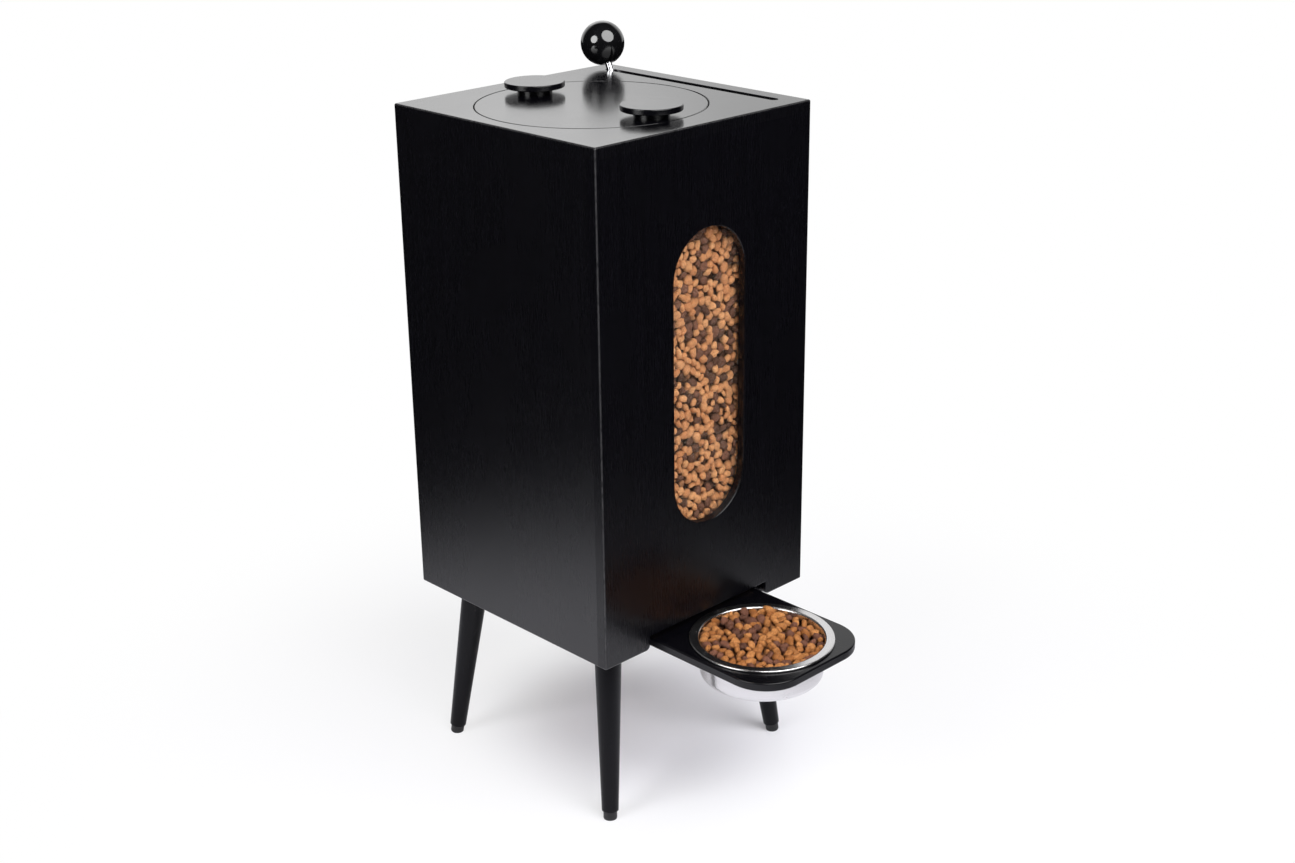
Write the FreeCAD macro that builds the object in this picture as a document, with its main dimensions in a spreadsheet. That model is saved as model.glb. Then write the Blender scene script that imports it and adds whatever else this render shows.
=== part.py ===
import FreeCAD, Part

import math
import os
import re

import Sketcher

# Kibble dispenser: a square cabinet on four splayed legs, holding a hopper behind a
# window. Pushing the lever forward draws the tray and its bowl in under the hopper's
# outlet. The tray's solid tail shuts the outlet while the bowl stands out in front.
# Millimetres, +Z up, the tray out along -Y. The origin is on the floor.

doc = FreeCAD.newDocument("kibble_dispenser")

# Driving sizes

SIZES = {
    "cabinet_width": (305, "outer width and depth of the cabinet"),
    "cabinet_height": (547.5, "cabinet, from its lower edge to its top"),
    "leg_drop": (197, "floor to the cabinet's lower edge"),
    "wall": (12, "thickness of the four walls"),
    "top_board_depth": (12, "thickness of the top board"),
    "arris": (2, "rounding of the cabinet's outer edges"),
    "face_shift": (2.4, "window, outlet, tray and bowl, right of the middle"),
    "window_width": (104, "window opening"),
    "window_height": (321, "window opening, end to end"),
    "window_sill": (121, "cabinet's lower edge to the window's lower end"),
    "cut_edge": (1.5, "rounding of the window's and the tray opening's edge"),
    "pane_depth": (3, "thickness of the window pane"),
    "pane_lip": (10, "pane's margin past the window"),
    "notch_gap": (7.5, "tray's edge to the side of its opening"),
    "notch_height": (15.6, "height of the tray's opening"),
    "notch_corner": (6, "rounding of the opening's lower corners"),
    "lid_left_margin": (17.5, "cabinet's left face to the lid"),
    "lid_right_margin": (17.8, "lid to the lever's slot"),
    "lid_gap": (1, "gap all round the lid"),
    "lid_edge": (0.8, "rounding of the lid's, the hole's and the slot's edges"),
    "ledge_depth": (6, "thickness of the board that the lid rests on"),
    "ledge_reach": (8, "how far that board reaches in under the lid"),
    "gasket_depth": (1.5, "thickness of the lid's gasket"),
    "gasket_width": (6.5, "radial width of the gasket"),
    "gasket_inset": (1, "lid's edge to the gasket"),
    "plug_depth": (6, "thickness of the disc that centres the lid"),
    "plug_gap": (1, "gap between that disc and the ledge"),
    "knob_inset": (32, "lid's edge to a knob's middle"),
    "knob_radius": (32, "knob disc"),
    "knob_depth": (6, "thickness of a knob disc"),
    "knob_edge": (1, "rounding of a knob disc's edges"),
    "stem_radius": (18.5, "knob stem"),
    "stem_height": (6, "knob stem"),
    "channel_width": (26, "lever channel, between its wall and the right panel"),
    "partition_depth": (6, "thickness of the wall between hopper and lever"),
    "rod_inset": (30.2, "cabinet's back face to the leaning rod, at the top"),
    "pin_rise": (68.6, "cabinet's lower edge to the drive pin, at its ends"),
    "ball_rise": (30.7, "cabinet's top to the middle of the ball, along the rod"),
    "rod_radius": (4, "lever rods"),
    "rod_seat": (5.5, "depth of a rod's seat in the hub"),
    "ball_radius": (24.5, "ball knob"),
    "ball_flat": (23.2, "ball's middle to the flat that the rod enters"),
    "ball_bore": (16, "depth of the rod's hole in the ball"),
    "slot_width": (9.4, "lever slot in the top board"),
    "slot_end": (1.2, "gap between the leaning rod and the slot's end"),
    "hub_radius": (13, "lever hub"),
    "hub_width": (14, "lever hub, along its axle"),
    "axle_radius": (4, "lever's axle"),
    "bush_radius": (6, "outside of the hub's bush"),
    "running_play": (0.05, "radial play of turning parts on their pins"),
    "plate_depth": (4, "thickness of an axle plate"),
    "plate_length": (46, "axle plate, front to back"),
    "plate_height": (26, "axle plate"),
    "plate_screw_reach": (17.5, "axle to each screw of its plate"),
    "washer_radius": (8, "thrust washer"),
    "washer_depth": (1.6, "thickness of a thrust washer"),
    "drive_radius": (2.5, "drive pin"),
    "drive_end": (11, "lower rod past the drive pin"),
    "roller_radius": (4, "roller on the drive pin"),
    "roller_width": (3.2, "roller, along its pin"),
    "roller_play": (1, "roller to each side of the bracket's slot"),
    "clip_radius": (5.5, "clip that keeps the roller on"),
    "clip_depth": (0.8, "thickness of the clip"),
    "pin_end": (0.3, "drive pin past its clip"),
    "pin_head_radius": (4, "head of the drive pin"),
    "pin_head_depth": (1.6, "head of the drive pin"),
    "tray_width": (165, "tray"),
    "tail_room": (2.5, "tray's tail, drawn in, to the back panel"),
    "tray_depth": (9.5, "thickness of the tray"),
    "tray_level": (8, "cabinet's lower edge up to the tray's face"),
    "tray_stand": (1.2, "tray's front edge, drawn in, past the cabinet's face"),
    "tray_corner": (45, "rounding of the tray's front corners"),
    "tray_rear_corner": (6, "rounding of the tray's rear corners"),
    "tray_edge": (1.5, "rounding of the tray's edges"),
    "bowl_inset": (82.9, "tray's front edge to the bowl's centre"),
    "bowl_hole_radius": (70, "hole in the tray for the bowl"),
    "bowl_rim_radius": (77.3, "bowl, outside of its rim"),
    "bowl_wall_radius": (67.5, "bowl, outside of its wall at the rim"),
    "bowl_base_radius": (65.5, "bowl, outside of its wall carried down to its base"),
    "bowl_depth": (42, "rim's seat to the bowl's underside"),
    "bowl_corner": (7, "rounding between the bowl's wall and base"),
    "bowl_sheet": (0.8, "thickness of the bowl's steel"),
    "rim_roll": (1.3, "radius of the bowl's rolled rim"),
    "rim_bend": (2.2, "bend between the bowl's wall and its rim"),
    "bracket_sheet": (2, "thickness of the drive bracket"),
    "bracket_width": (26, "drive bracket, front to back"),
    "bracket_foot": (30, "bracket's hold on the tray"),
    "bracket_rise": (6, "bracket above its slot"),
    "bracket_room": (2.5, "bracket, at each end of its travel, to a corner block"),
    "bracket_shift": (9.5, "lever to the middle of the bracket's upright"),
    "bracket_screw_inset": (9, "bracket's foot, from either end to its screws"),
    "bracket_screw_reach": (7.8, "bracket's middle to its outer screws"),
    "runner_sheet": (1.8, "thickness of a tray runner"),
    "runner_lip": (11, "runner's reach in under the tray"),
    "runner_play": (0.8, "tray's edge to each runner"),
    "runner_drop": (0.3, "tray's underside to the runner's lip"),
    "runner_inset": (2, "runner's ends, from the front and back panels"),
    "runner_top_gap": (1.5, "runner's upper edge, below the tray's face"),
    "runner_screw_lift": (3, "cabinet's lower edge to the runners' screws"),
    "deck_lift": (16, "cabinet's lower edge to the deck's underside"),
    "deck_depth": (9, "thickness of the deck"),
    "outlet_width": (84, "outlet, square"),
    "liner_wall": (3, "thickness of the outlet's liner"),
    "liner_drop": (4, "liner below the deck"),
    "seat_play": (0.2, "play round pieces that fit into others"),
    "funnel_slope": (40, "slope of the funnel's boards, in degrees"),
    "funnel_depth": (5, "thickness of the funnel's boards"),
    "block_depth": (46, "corner block, front to back"),
    "leg_inset": (31.3, "leg's top, from the walls' inner faces, each way"),
    "leg_splay": (9.1, "leg's splay, in degrees"),
    "leg_top_radius": (15, "leg, at the cabinet"),
    "leg_foot_radius": (9.2, "leg, at its glide"),
    "leg_edge": (1.2, "rounding of the leg's lower end"),
    "glide_radius": (7.5, "foot glide"),
    "glide_height": (9, "foot glide"),
    "glide_edge": (2.5, "rounding of the glide's lower edge"),
    "spigot_radius": (2, "glide's pin in the leg"),
    "spigot_length": (14, "glide's pin in the leg"),
    "leg_bolt_radius": (4, "leg bolt"),
    "leg_bolt_hold": (26, "leg bolt, in the leg"),
    "leg_bolt_rise": (13, "leg bolt, in the corner block"),
    "pilot_play": (0.1, "play round the shank of a screw or bolt"),
    "small_screw_radius": (1.5, "shank of the pane's and the runners' screws"),
    "small_head_radius": (3, "head of those screws"),
    "small_head_depth": (1.3, "head of those screws"),
    "pane_screw_length": (9, "pane's screws, under the head"),
    "runner_screw_length": (14, "runners' screws, under the head"),
    "screw_radius": (2, "shank of the other screws"),
    "head_radius": (3.4, "head of the other screws"),
    "head_depth": (1.8, "head of the other screws"),
    "plate_screw_length": (9, "axle plates' screws, under the head"),
    "bracket_screw_length": (9, "bracket's screws, under the head"),
    "deck_screw_length": (18, "deck's screws, under the head"),
    "knob_screw_grip": (4, "knob screws, in the knob disc"),
}

sizes = doc.addObject("Spreadsheet::Sheet", "sizes")
for row, (name, (number, meaning)) in enumerate(SIZES.items(), start=1):
    sizes.set(f"A{row}", meaning)
    sizes.set(f"B{row}", str(number))
    sizes.setAlias(f"B{row}", name)

# Places worked out from the sizes: x, y from the cabinet's middle, heights from the floor

PLACES = {
    "half": ("sizes.cabinet_width / 2", "cabinet's middle to an outer face"),
    "inner": ("half - sizes.wall", "cabinet's middle to an inner face"),
    "base": ("sizes.leg_drop", "cabinet's lower edge"),
    "wall_height": ("sizes.cabinet_height - sizes.top_board_depth", "walls"),
    "top_low": ("base + wall_height", "underside of the top board"),
    "partition_right": ("inner - sizes.channel_width", "partition, at the lever"),
    "partition_left": ("partition_right - sizes.partition_depth", "at the hopper"),
    "lever_x": ("inner - sizes.channel_width / 2", "lever"),
    "tray_stroke": (
        "2 * (inner - sizes.block_depth - sizes.bracket_room - sizes.bracket_width / 2)",
        "travel of the tray, for the bracket to run from block to block",
    ),
    "pin_reach": ("tray_stroke / 2", "middle to the drive pin, at its ends"),
    "rod_reach": ("half - sizes.rod_inset", "middle to the rod, at the top"),
    "lever_lean": (
        "atan((pin_reach + rod_reach) / (sizes.cabinet_height - sizes.pin_rise))",
        "lever's lean from upright at each end",
    ),
    "pivot_height": ("sizes.pin_rise + pin_reach / tan(lever_lean)", "over the lower edge"),
    "pivot": ("base + pivot_height", "lever's axle"),
    "lever_reach": (
        "(sizes.cabinet_height - pivot_height) / cos(lever_lean) + sizes.ball_rise",
        "pivot to the middle of the ball",
    ),
    "ball_y": ("lever_reach * sin(lever_lean)", "ball, at rest"),
    "ball_back": ("ball_y + sizes.ball_radius", "rearmost point"),
    "tray_reach": ("tray_stroke + sizes.tray_stand", "tray, past the cabinet's face"),
    "tray_front": ("-half - tray_reach", "foremost point"),
    "tray_length": ("tray_reach + half + inner - sizes.tail_room - tray_stroke", "tray"),
    "cabinet_y": ("-(max(ball_back; half) + tray_front) / 2", "origin to cabinet"),
    "slot_half": (
        "rod_reach + sizes.rod_radius / cos(lever_lean) + sizes.slot_end",
        "slot's middle to its end",
    ),
    "slot_straight": ("slot_half - sizes.slot_width / 2", "to its end's centre"),
    "window_radius": ("sizes.window_width / 2", "window's round ends"),
    "window_low": ("sizes.window_sill + window_radius", "lower end's centre"),
    "window_high": (
        "sizes.window_sill + sizes.window_height - window_radius",
        "upper end's centre",
    ),
    "pane_radius": ("window_radius + sizes.pane_lip", "pane's round ends"),
    "drive_arm": ("pin_reach / sin(lever_lean)", "pivot to pin"),
    "drive_high": ("base + sizes.pin_rise", "pin at its ends"),
    "drive_low": ("pivot - drive_arm", "pin at mid stroke"),
    "drive_y": ("-pin_reach", "pin, at rest"),
    "flange_x": ("lever_x - sizes.bracket_shift", "middle of the bracket's upright"),
    "slot_reach": ("sizes.roller_radius + sizes.roller_play", "bracket's slot"),
    "tray_top": ("base + sizes.tray_level", "tray's face"),
    "tray_left": ("sizes.face_shift - sizes.tray_width / 2", "tray's edge"),
    "tray_right": ("sizes.face_shift + sizes.tray_width / 2", "tray's edge"),
    "bowl_y": ("tray_front + sizes.bowl_inset", "bowl, at rest"),
    "outlet_y": ("bowl_y + tray_stroke", "outlet, over the bowl drawn in"),
    "liner_half": ("sizes.outlet_width / 2 + sizes.liner_wall", "liner's outside"),
    "deck_low": ("base + sizes.deck_lift", "deck's underside"),
    "deck_top": ("deck_low + sizes.deck_depth", "deck's face"),
    "block_gap": ("sizes.runner_play + sizes.runner_sheet", "tray to block"),
    "block_left": ("tray_left - block_gap", "left blocks' inner face"),
    "block_right": ("tray_right + block_gap", "right blocks' inner face"),
    "block_middle": ("inner - sizes.block_depth / 2", "blocks, front to back"),
    "leg_foot": (
        "inner - sizes.leg_inset + sizes.leg_drop * tan(sizes.leg_splay) / sqrt(2)",
        "foot, from the cabinet's middle, each way",
    ),
    "leg_length": ("sizes.leg_drop / cos(sizes.leg_splay)", "along its axis"),
    "lid_left": ("-half + sizes.lid_left_margin", "lid's left edge"),
    "lid_right": ("lever_x - sizes.slot_width / 2 - sizes.lid_right_margin", "its right edge"),
    "lid_radius": ("(lid_right - lid_left) / 2", "lid"),
    "lid_x": ("(lid_right + lid_left) / 2", "lid's centre"),
    "knob_reach": ("lid_radius - sizes.knob_inset", "lid's centre to each knob"),
    "ledge_hole": ("lid_radius - sizes.ledge_reach", "hole under the lid"),
    "lid_depth": ("sizes.top_board_depth - sizes.gasket_depth", "lid disc"),
    "plug_radius": ("ledge_hole - sizes.plug_gap", "disc that centres the lid"),
    "knob_z": ("top_low + sizes.top_board_depth", "knob stems' foot"),
}

places = doc.addObject("Spreadsheet::Sheet", "places")


def named(text):
    """Put the sheet's name before each place that a formula names."""
    return re.sub(r"(?<![\w.])(" + "|".join(PLACES) + r")(?!\w)", r"places.\1", text)


for row, (name, (formula, meaning)) in enumerate(PLACES.items(), start=1):
    places.set(f"A{row}", meaning)
    places.set(f"B{row}", "=" + formula)
    places.setAlias(f"B{row}", name)
doc.recompute()

# Ways to make, shape and place a piece

pieces = {}


def keep(piece, name):
    """Label a finished sub-part and list it for writing."""
    piece.Label = name
    pieces[name] = piece
    return piece


def put(piece, across="0", along="0", up="0", yaw="0", pitch="0", roll="0"):
    """Place a piece from the middle of the floor under the cabinet."""
    spot = f"vector({across}; {along} + cabinet_y; {up})"
    turn = f"rotation({yaw}; {pitch}; {roll})"
    piece.setExpression("Placement", named(f"placement({spot}; {turn})"))
    return piece


def body(name):
    """A new solid sub-part."""
    return keep(doc.addObject("PartDesign::Body", name), name)


def sketch(piece, plane, lift=None):
    """A sketch on one of a body's own planes, or lifted off it along its normal."""
    drawing = piece.newObject("Sketcher::SketchObject", piece.Name + "_sketch")
    support = [f for f in piece.Origin.OriginFeatures if f.Role == plane + "_Plane"]
    drawing.AttachmentSupport = (support[0], "")
    drawing.MapMode = "FlatFace"
    if lift:
        drawing.setExpression("AttachmentOffset.Base.z", named(lift))
    return drawing


def pin_down(drawing, element, point, across, up):
    """Hold a point of the sketch at two bound distances from its origin."""
    for kind, text in (("DistanceX", across), ("DistanceY", up)):
        held = Sketcher.Constraint(kind, -1, 1, element, point, 1.0)
        number = drawing.addConstraint(held)
        drawing.setExpression(f"Constraints[{number}]", named(text))


def outline(drawing, points):
    """A closed outline of straight lines through bound points."""
    first = drawing.GeometryCount
    count = len(points)
    turn = 2 * math.pi / count
    ring = [FreeCAD.Vector(math.cos(turn * i), math.sin(turn * i)) for i in range(count)]
    for i in range(count):
        drawing.addGeometry(Part.LineSegment(ring[i], ring[(i + 1) % count]), False)
    for i in range(count):
        after = first + (i + 1) % count
        drawing.addConstraint(Sketcher.Constraint("Coincident", first + i, 2, after, 1))
    for i, (across, up) in enumerate(points):
        pin_down(drawing, first + i, 1, across, up)
    return drawing


def rectangle(drawing, left, low, right, high):
    """An upright rectangle between bound sides."""
    corners = [(left, low), (right, low), (right, high), (left, high)]
    return outline(drawing, corners)


def circle(drawing, across, up, radius):
    """A circle with a bound centre and radius."""
    number = drawing.GeometryCount
    plain = Part.Circle(FreeCAD.Vector(0, 0, 0), FreeCAD.Vector(0, 0, 1), 1.0)
    drawing.addGeometry(plain, False)
    pin_down(drawing, number, 3, across, up)
    held = drawing.addConstraint(Sketcher.Constraint("Radius", number, 1.0))
    drawing.setExpression(f"Constraints[{held}]", named(radius))
    return drawing


def grow(piece, drawing, depth, reverse=False, middle=False):
    """Pad a sketch by a bound depth."""
    pad = piece.newObject("PartDesign::Pad", piece.Name + "_pad")
    pad.Profile = drawing
    pad.setExpression("Length", named(depth))
    pad.Reversed = reverse
    pad.Midplane = middle
    doc.recompute()
    return pad


def volume_after(piece, feature, before, grows):
    """Recompute, and stop if the feature left the solid as it was."""
    doc.recompute()
    change = feature.Shape.Volume - before
    if change == 0 or (change > 0) != grows:
        raise RuntimeError(f"{piece.Label}: {feature.Name} changed the volume by {change}")
    return feature


def cut(piece, drawing, depth, reverse=False, middle=False):
    """Pocket a sketch by a bound depth."""
    before = piece.Tip.Shape.Volume
    pocket = piece.newObject("PartDesign::Pocket", piece.Name + "_pocket")
    pocket.Profile = drawing
    pocket.setExpression("Length", named(depth))
    pocket.Reversed = reverse
    pocket.Midplane = middle
    return volume_after(piece, pocket, before, False)


def spin(piece, drawing):
    """Turn a sketch about its own upright axis."""
    turned = piece.newObject("PartDesign::Revolution", piece.Name + "_turned")
    turned.Profile = drawing
    turned.ReferenceAxis = (drawing, ["V_Axis"])
    turned.Angle = 360
    doc.recompute()
    return turned


def groove(piece, drawing):
    """Cut away what a sketch sweeps, turned about its own upright axis."""
    before = piece.Tip.Shape.Volume
    turned = piece.newObject("PartDesign::Groove", piece.Name + "_groove")
    turned.Profile = drawing
    turned.ReferenceAxis = (drawing, ["V_Axis"])
    turned.Angle = 360
    return volume_after(piece, turned, before, False)


def near(a, b):
    """Whether two lengths are the same."""
    return abs(a - b) < 0.01


def upright(edge):
    """Whether an edge has any height."""
    return not near(edge.BoundBox.ZLength, 0)


def round_off(piece, radius, choose):
    """Fillet the edges that the test chooses, by a bound radius."""
    base = piece.Tip
    names = [f"Edge{n}" for n, edge in enumerate(base.Shape.Edges, 1) if choose(edge)]
    if not names:
        raise RuntimeError(f"{piece.Label}: no edge to round")
    before = base.Shape.Volume
    fillet = piece.newObject("PartDesign::Fillet", piece.Name + "_fillet")
    fillet.Base = (base, names)
    fillet.setExpression("Radius", named(radius))
    doc.recompute()
    if near(fillet.Shape.Volume, before):
        raise RuntimeError(f"{piece.Label}: a fillet changed nothing")
    return fillet


def level(edge, height):
    """Whether an edge lies flat at a height."""
    box = edge.BoundBox
    return near(box.ZMin, height) and near(box.ZMax, height)


def cylinder(name, radius, length, **spot):
    """A placed cylinder along its own Z."""
    plain = doc.addObject("Part::Cylinder", name)
    plain.setExpression("Radius", named(radius))
    plain.setExpression("Height", named(length))
    return put(plain, **spot)


def block(name, wide, deep, tall, **spot):
    """A placed box."""
    plain = doc.addObject("Part::Box", name)
    for side, text in (("Length", wide), ("Width", deep), ("Height", tall)):
        plain.setExpression(side, named(text))
    return put(plain, **spot)


def joined(name, kind, base, tool):
    """A boolean of two shapes."""
    both = doc.addObject(kind, name)
    both.Base = base
    both.Tool = tool
    return both


def group(name, members):
    """Equal loose solids kept as one sub-part."""
    together = doc.addObject("Part::Compound", name)
    together.Links = members
    return keep(together, name)


def screw(name, size, length, **spot):
    """A screw whose head stands on the spot, its shank pointing down its own Z."""
    shank = doc.addObject("Part::Cylinder", name + "_shank")
    shank.setExpression("Radius", f"sizes.{size}screw_radius")
    shank.setExpression("Height", named(length))
    shank.setExpression("Placement.Base.z", named(f"-({length})"))
    head = doc.addObject("Part::Cylinder", name + "_head")
    head.setExpression("Radius", f"sizes.{size}head_radius")
    head.setExpression("Height", f"sizes.{size}head_depth")
    return put(joined(name, "Part::Fuse", shank, head), **spot)


def tube(name, inside, outside, low, high):
    """A tube along its own Z between two bound heights."""
    piece = body(name)
    corners = [(inside, low), (outside, low), (outside, high), (inside, high)]
    spin(piece, outline(sketch(piece, "XZ"), corners))
    return piece


# The cabinet's four lower corners, as left or right and front or back

CORNERS = {
    "front_left": (-1, -1),
    "front_right": (1, -1),
    "back_left": (-1, 1),
    "back_right": (1, 1),
}

# Cabinet walls


def wall_outline():
    """Corners of a full-width wall, seen from outside, from its lower middle."""
    return [("-half", "0"), ("half", "0"), ("half", "wall_height"), ("-half", "wall_height")]


def round_wall(piece, outer, width):
    """Round a full-width wall's outer, upright and lower edges, and its ends' feet."""

    def chosen(edge):
        box = edge.BoundBox
        on_face = near(box.YMin, outer) and near(box.YMax, outer)
        at_end = near(abs(box.XMin), width) and near(abs(box.XMax), width)
        corner = on_face and at_end and upright(edge)
        foot = level(edge, 0) and (on_face or at_end)
        return corner or foot

    round_off(piece, "sizes.arris", chosen)


def stadium_cut(piece, plane, lift, centre, ends, radius, depth, reverse):
    """Cut a slot with round ends: its straight middle, then both ends."""
    low, high = ends
    middle = sketch(piece, plane, lift)
    left, right = f"{centre} - {radius}", f"{centre} + {radius}"
    cut(piece, rectangle(middle, left, low, right, high), depth, reverse)
    for end in ends:
        cut(piece, circle(sketch(piece, plane, lift), centre, end, radius), depth, reverse)


def pane_screw_spots():
    """Where the pane's screws stand: across and up, on the front panel."""
    reach = "(window_radius + sizes.pane_lip / 2)"
    spots = []
    for side in ("-", "+"):
        for height in ("window_low", "(window_low + window_high) / 2", "window_high"):
            spots.append((f"sizes.face_shift {side} {reach}", height))
    return spots


def front_panel():
    """Front wall, with the window, the pane's rebate and the tray's opening."""
    piece = body("front_panel")
    left = "tray_left - sizes.notch_gap"
    right = "tray_right + sizes.notch_gap"
    high = "sizes.notch_height"
    foot = [("-half", "0"), (left, "0"), (left, high), (right, high), (right, "0")]
    head = [("half", "0"), ("half", "wall_height"), ("-half", "wall_height")]
    grow(piece, outline(sketch(piece, "XZ"), foot + head), "sizes.wall", reverse=True)
    side = places.half
    corner = (places.tray_left - sizes.notch_gap, places.tray_right + sizes.notch_gap)

    def lower_corner(edge):
        box = edge.BoundBox
        at_side = near(box.XMin, corner[0]) or near(box.XMin, corner[1])
        return at_side and level(edge, 0) and near(box.XLength, 0)

    round_off(piece, "sizes.notch_corner", lower_corner)
    ends = ("window_low", "window_high")
    stadium_cut(piece, "XZ", None, "sizes.face_shift", ends, "window_radius", "sizes.wall", False)
    stadium_cut(piece, "XZ", "-sizes.wall", "sizes.face_shift", ends, "pane_radius",
                "sizes.pane_depth", True)
    for across, up in pane_screw_spots():
        drawing = sketch(piece, "XZ", "-(sizes.wall - sizes.pane_depth)")
        hole = "sizes.small_screw_radius + sizes.pilot_play"
        deep = "sizes.pane_screw_length - sizes.pane_depth + sizes.pilot_play"
        cut(piece, circle(drawing, across, up, hole), deep, True)
    round_wall(piece, 0, side)

    def opening_edge(edge):
        box = edge.BoundBox
        on_face = near(box.YMin, 0) and near(box.YMax, 0)
        inside = max(abs(box.XMin), abs(box.XMax)) < side - sizes.wall
        over_foot = box.ZMin > sizes.arris and not near(box.ZMin, sizes.arris)
        return on_face and inside and over_foot

    round_off(piece, "sizes.cut_edge", opening_edge)
    put(piece, "0", "-half", "base")


def back_panel():
    """Plain back wall."""
    piece = body("back_panel")
    grow(piece, outline(sketch(piece, "XZ"), wall_outline()), "sizes.wall")
    round_wall(piece, 0, places.half)
    put(piece, "0", "half", "base")


def side_panel(name, side):
    """A side wall between the front and the back; the right one holds an axle plate."""
    piece = body(name)
    drawing = rectangle(sketch(piece, "YZ"), "-inner", "0", "inner", "wall_height")
    grow(piece, drawing, "sizes.wall", reverse=side > 0)
    if side > 0:
        for way in ("-", ""):
            drawing = sketch(piece, "YZ", "-sizes.wall")
            hole = "sizes.screw_radius + sizes.pilot_play"
            circle(drawing, f"{way}sizes.plate_screw_reach", "pivot_height", hole)
            deep = "sizes.plate_screw_length - sizes.plate_depth + sizes.pilot_play"
            cut(piece, drawing, deep, True)

    def lower_outer(edge):
        box = edge.BoundBox
        return level(edge, 0) and near(box.XMin, 0) and near(box.XMax, 0)

    round_off(piece, "sizes.arris", lower_outer)
    put(piece, "half" if side > 0 else "-half", "0", "base")


def top_board():
    """Top, with the lid's hole and the lever's slot."""
    piece = body("top_board")
    grow(piece, rectangle(sketch(piece, "XY"), "-half", "-half", "half", "half"),
         "sizes.top_board_depth")
    deep = "sizes.top_board_depth"
    hole = "lid_radius + sizes.lid_gap"
    cut(piece, circle(sketch(piece, "XY"), "lid_x", "0", hole), deep, True)
    slot = rectangle(sketch(piece, "XY"), "lever_x - sizes.slot_width / 2", "-slot_straight",
                     "lever_x + sizes.slot_width / 2", "slot_straight")
    cut(piece, slot, deep, True)
    for end in ("-slot_straight", "slot_straight"):
        cut(piece, circle(sketch(piece, "XY"), "lever_x", end, "sizes.slot_width / 2"), deep, True)
    side, high = places.half, sizes.top_board_depth

    def outer(edge):
        box = edge.BoundBox
        at_x = near(abs(box.XMin), side) and near(abs(box.XMax), side)
        at_y = near(abs(box.YMin), side) and near(abs(box.YMax), side)
        return (at_x and at_y) if upright(edge) else level(edge, high) and (at_x or at_y)

    round_off(piece, "sizes.arris", outer)

    def inner_edge(edge):
        box = edge.BoundBox
        far = max(abs(box.XMin), abs(box.XMax), abs(box.YMin), abs(box.YMax))
        return level(edge, high) and far < side - sizes.arris

    round_off(piece, "sizes.lid_edge", inner_edge)
    put(piece, "0", "0", "top_low")


# Hopper


def lid_ledge():
    """Board under the top, whose hole is smaller than the lid."""
    piece = body("lid_ledge")
    grow(piece, rectangle(sketch(piece, "XY"), "-inner", "-inner", "partition_left", "inner"),
         "sizes.ledge_depth")
    drawing = circle(sketch(piece, "XY"), "lid_x", "0", "ledge_hole")
    cut(piece, drawing, "sizes.ledge_depth", True)
    put(piece, "0", "0", "top_low - sizes.ledge_depth")


def partition():
    """Wall between the hopper and the lever's channel, holding an axle plate."""
    piece = body("partition")
    drawing = sketch(piece, "YZ")
    rectangle(drawing, "-inner", "deck_top - base", "inner", "wall_height")
    grow(piece, drawing, "sizes.partition_depth", reverse=True)
    for way in ("-", ""):
        drawing = sketch(piece, "YZ")
        hole = "sizes.screw_radius + sizes.pilot_play"
        circle(drawing, f"{way}sizes.plate_screw_reach", "pivot_height", hole)
        deep = "sizes.plate_screw_length - sizes.plate_depth + sizes.pilot_play"
        cut(piece, drawing, deep)
    put(piece, "partition_right", "0", "base")


def deck_screw_spot(side, end):
    """Where a screw of the deck stands, over the block in one corner."""
    across = "(block_left - inner) / 2" if side < 0 else "(block_right + partition_left) / 2"
    return across, "-block_middle" if end < 0 else "block_middle"


def outlet_deck():
    """Floor of the hopper, resting on the corner blocks, with the outlet's hole."""
    piece = body("outlet_deck")
    grow(piece, rectangle(sketch(piece, "XY"), "-inner", "-inner", "partition_right", "inner"),
         "sizes.deck_depth")
    reach = "(liner_half + sizes.seat_play)"
    drawing = rectangle(sketch(piece, "XY"), f"sizes.face_shift - {reach}", f"outlet_y - {reach}",
                        f"sizes.face_shift + {reach}", f"outlet_y + {reach}")
    cut(piece, drawing, "sizes.deck_depth", True)
    hole = "sizes.screw_radius + sizes.pilot_play"
    for side, end in CORNERS.values():
        across, along = deck_screw_spot(side, end)
        cut(piece, circle(sketch(piece, "XY"), across, along, hole), "sizes.deck_depth", True)
    put(piece, "0", "0", "deck_low")


def outlet_liner():
    """Square sleeve through the deck, ending just over the bowl's rim."""
    piece = body("outlet_liner")
    deep = "sizes.liner_drop + sizes.deck_depth"
    half = "liner_half"
    grow(piece, rectangle(sketch(piece, "XY"), f"-{half}", f"-{half}", half, half), deep)
    bore = "sizes.outlet_width / 2"
    cut(piece, rectangle(sketch(piece, "XY"), f"-{bore}", f"-{bore}", bore, bore), deep, True)
    put(piece, "sizes.face_shift", "outlet_y", "deck_low - sizes.liner_drop")


def slope(edge, wall):
    """Section of a sloping board, from the outlet's edge up to a wall, resting on the deck."""
    way = "+" if wall in ("inner", "partition_left") else "-"
    run = f"abs({wall} - ({edge}))"
    rise = f"{run} * tan(sizes.funnel_slope)"
    thick = "sizes.funnel_depth / cos(sizes.funnel_slope)"
    base = f"({edge}) {way} sizes.funnel_depth / sin(sizes.funnel_slope)"
    return [(edge, "0"), (wall, rise), (wall, f"{rise} - {thick}"), (base, "0")]


def under(edge, wall):
    """The space under a sloping board's face."""
    rise = f"abs({wall} - ({edge})) * tan(sizes.funnel_slope)"
    return [(edge, "0"), (wall, rise), (wall, "0")]


def outlet_edge(middle, way):
    """One edge of the outlet, where the funnel's boards end."""
    return f"{middle} {way} sizes.outlet_width / 2"


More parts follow.
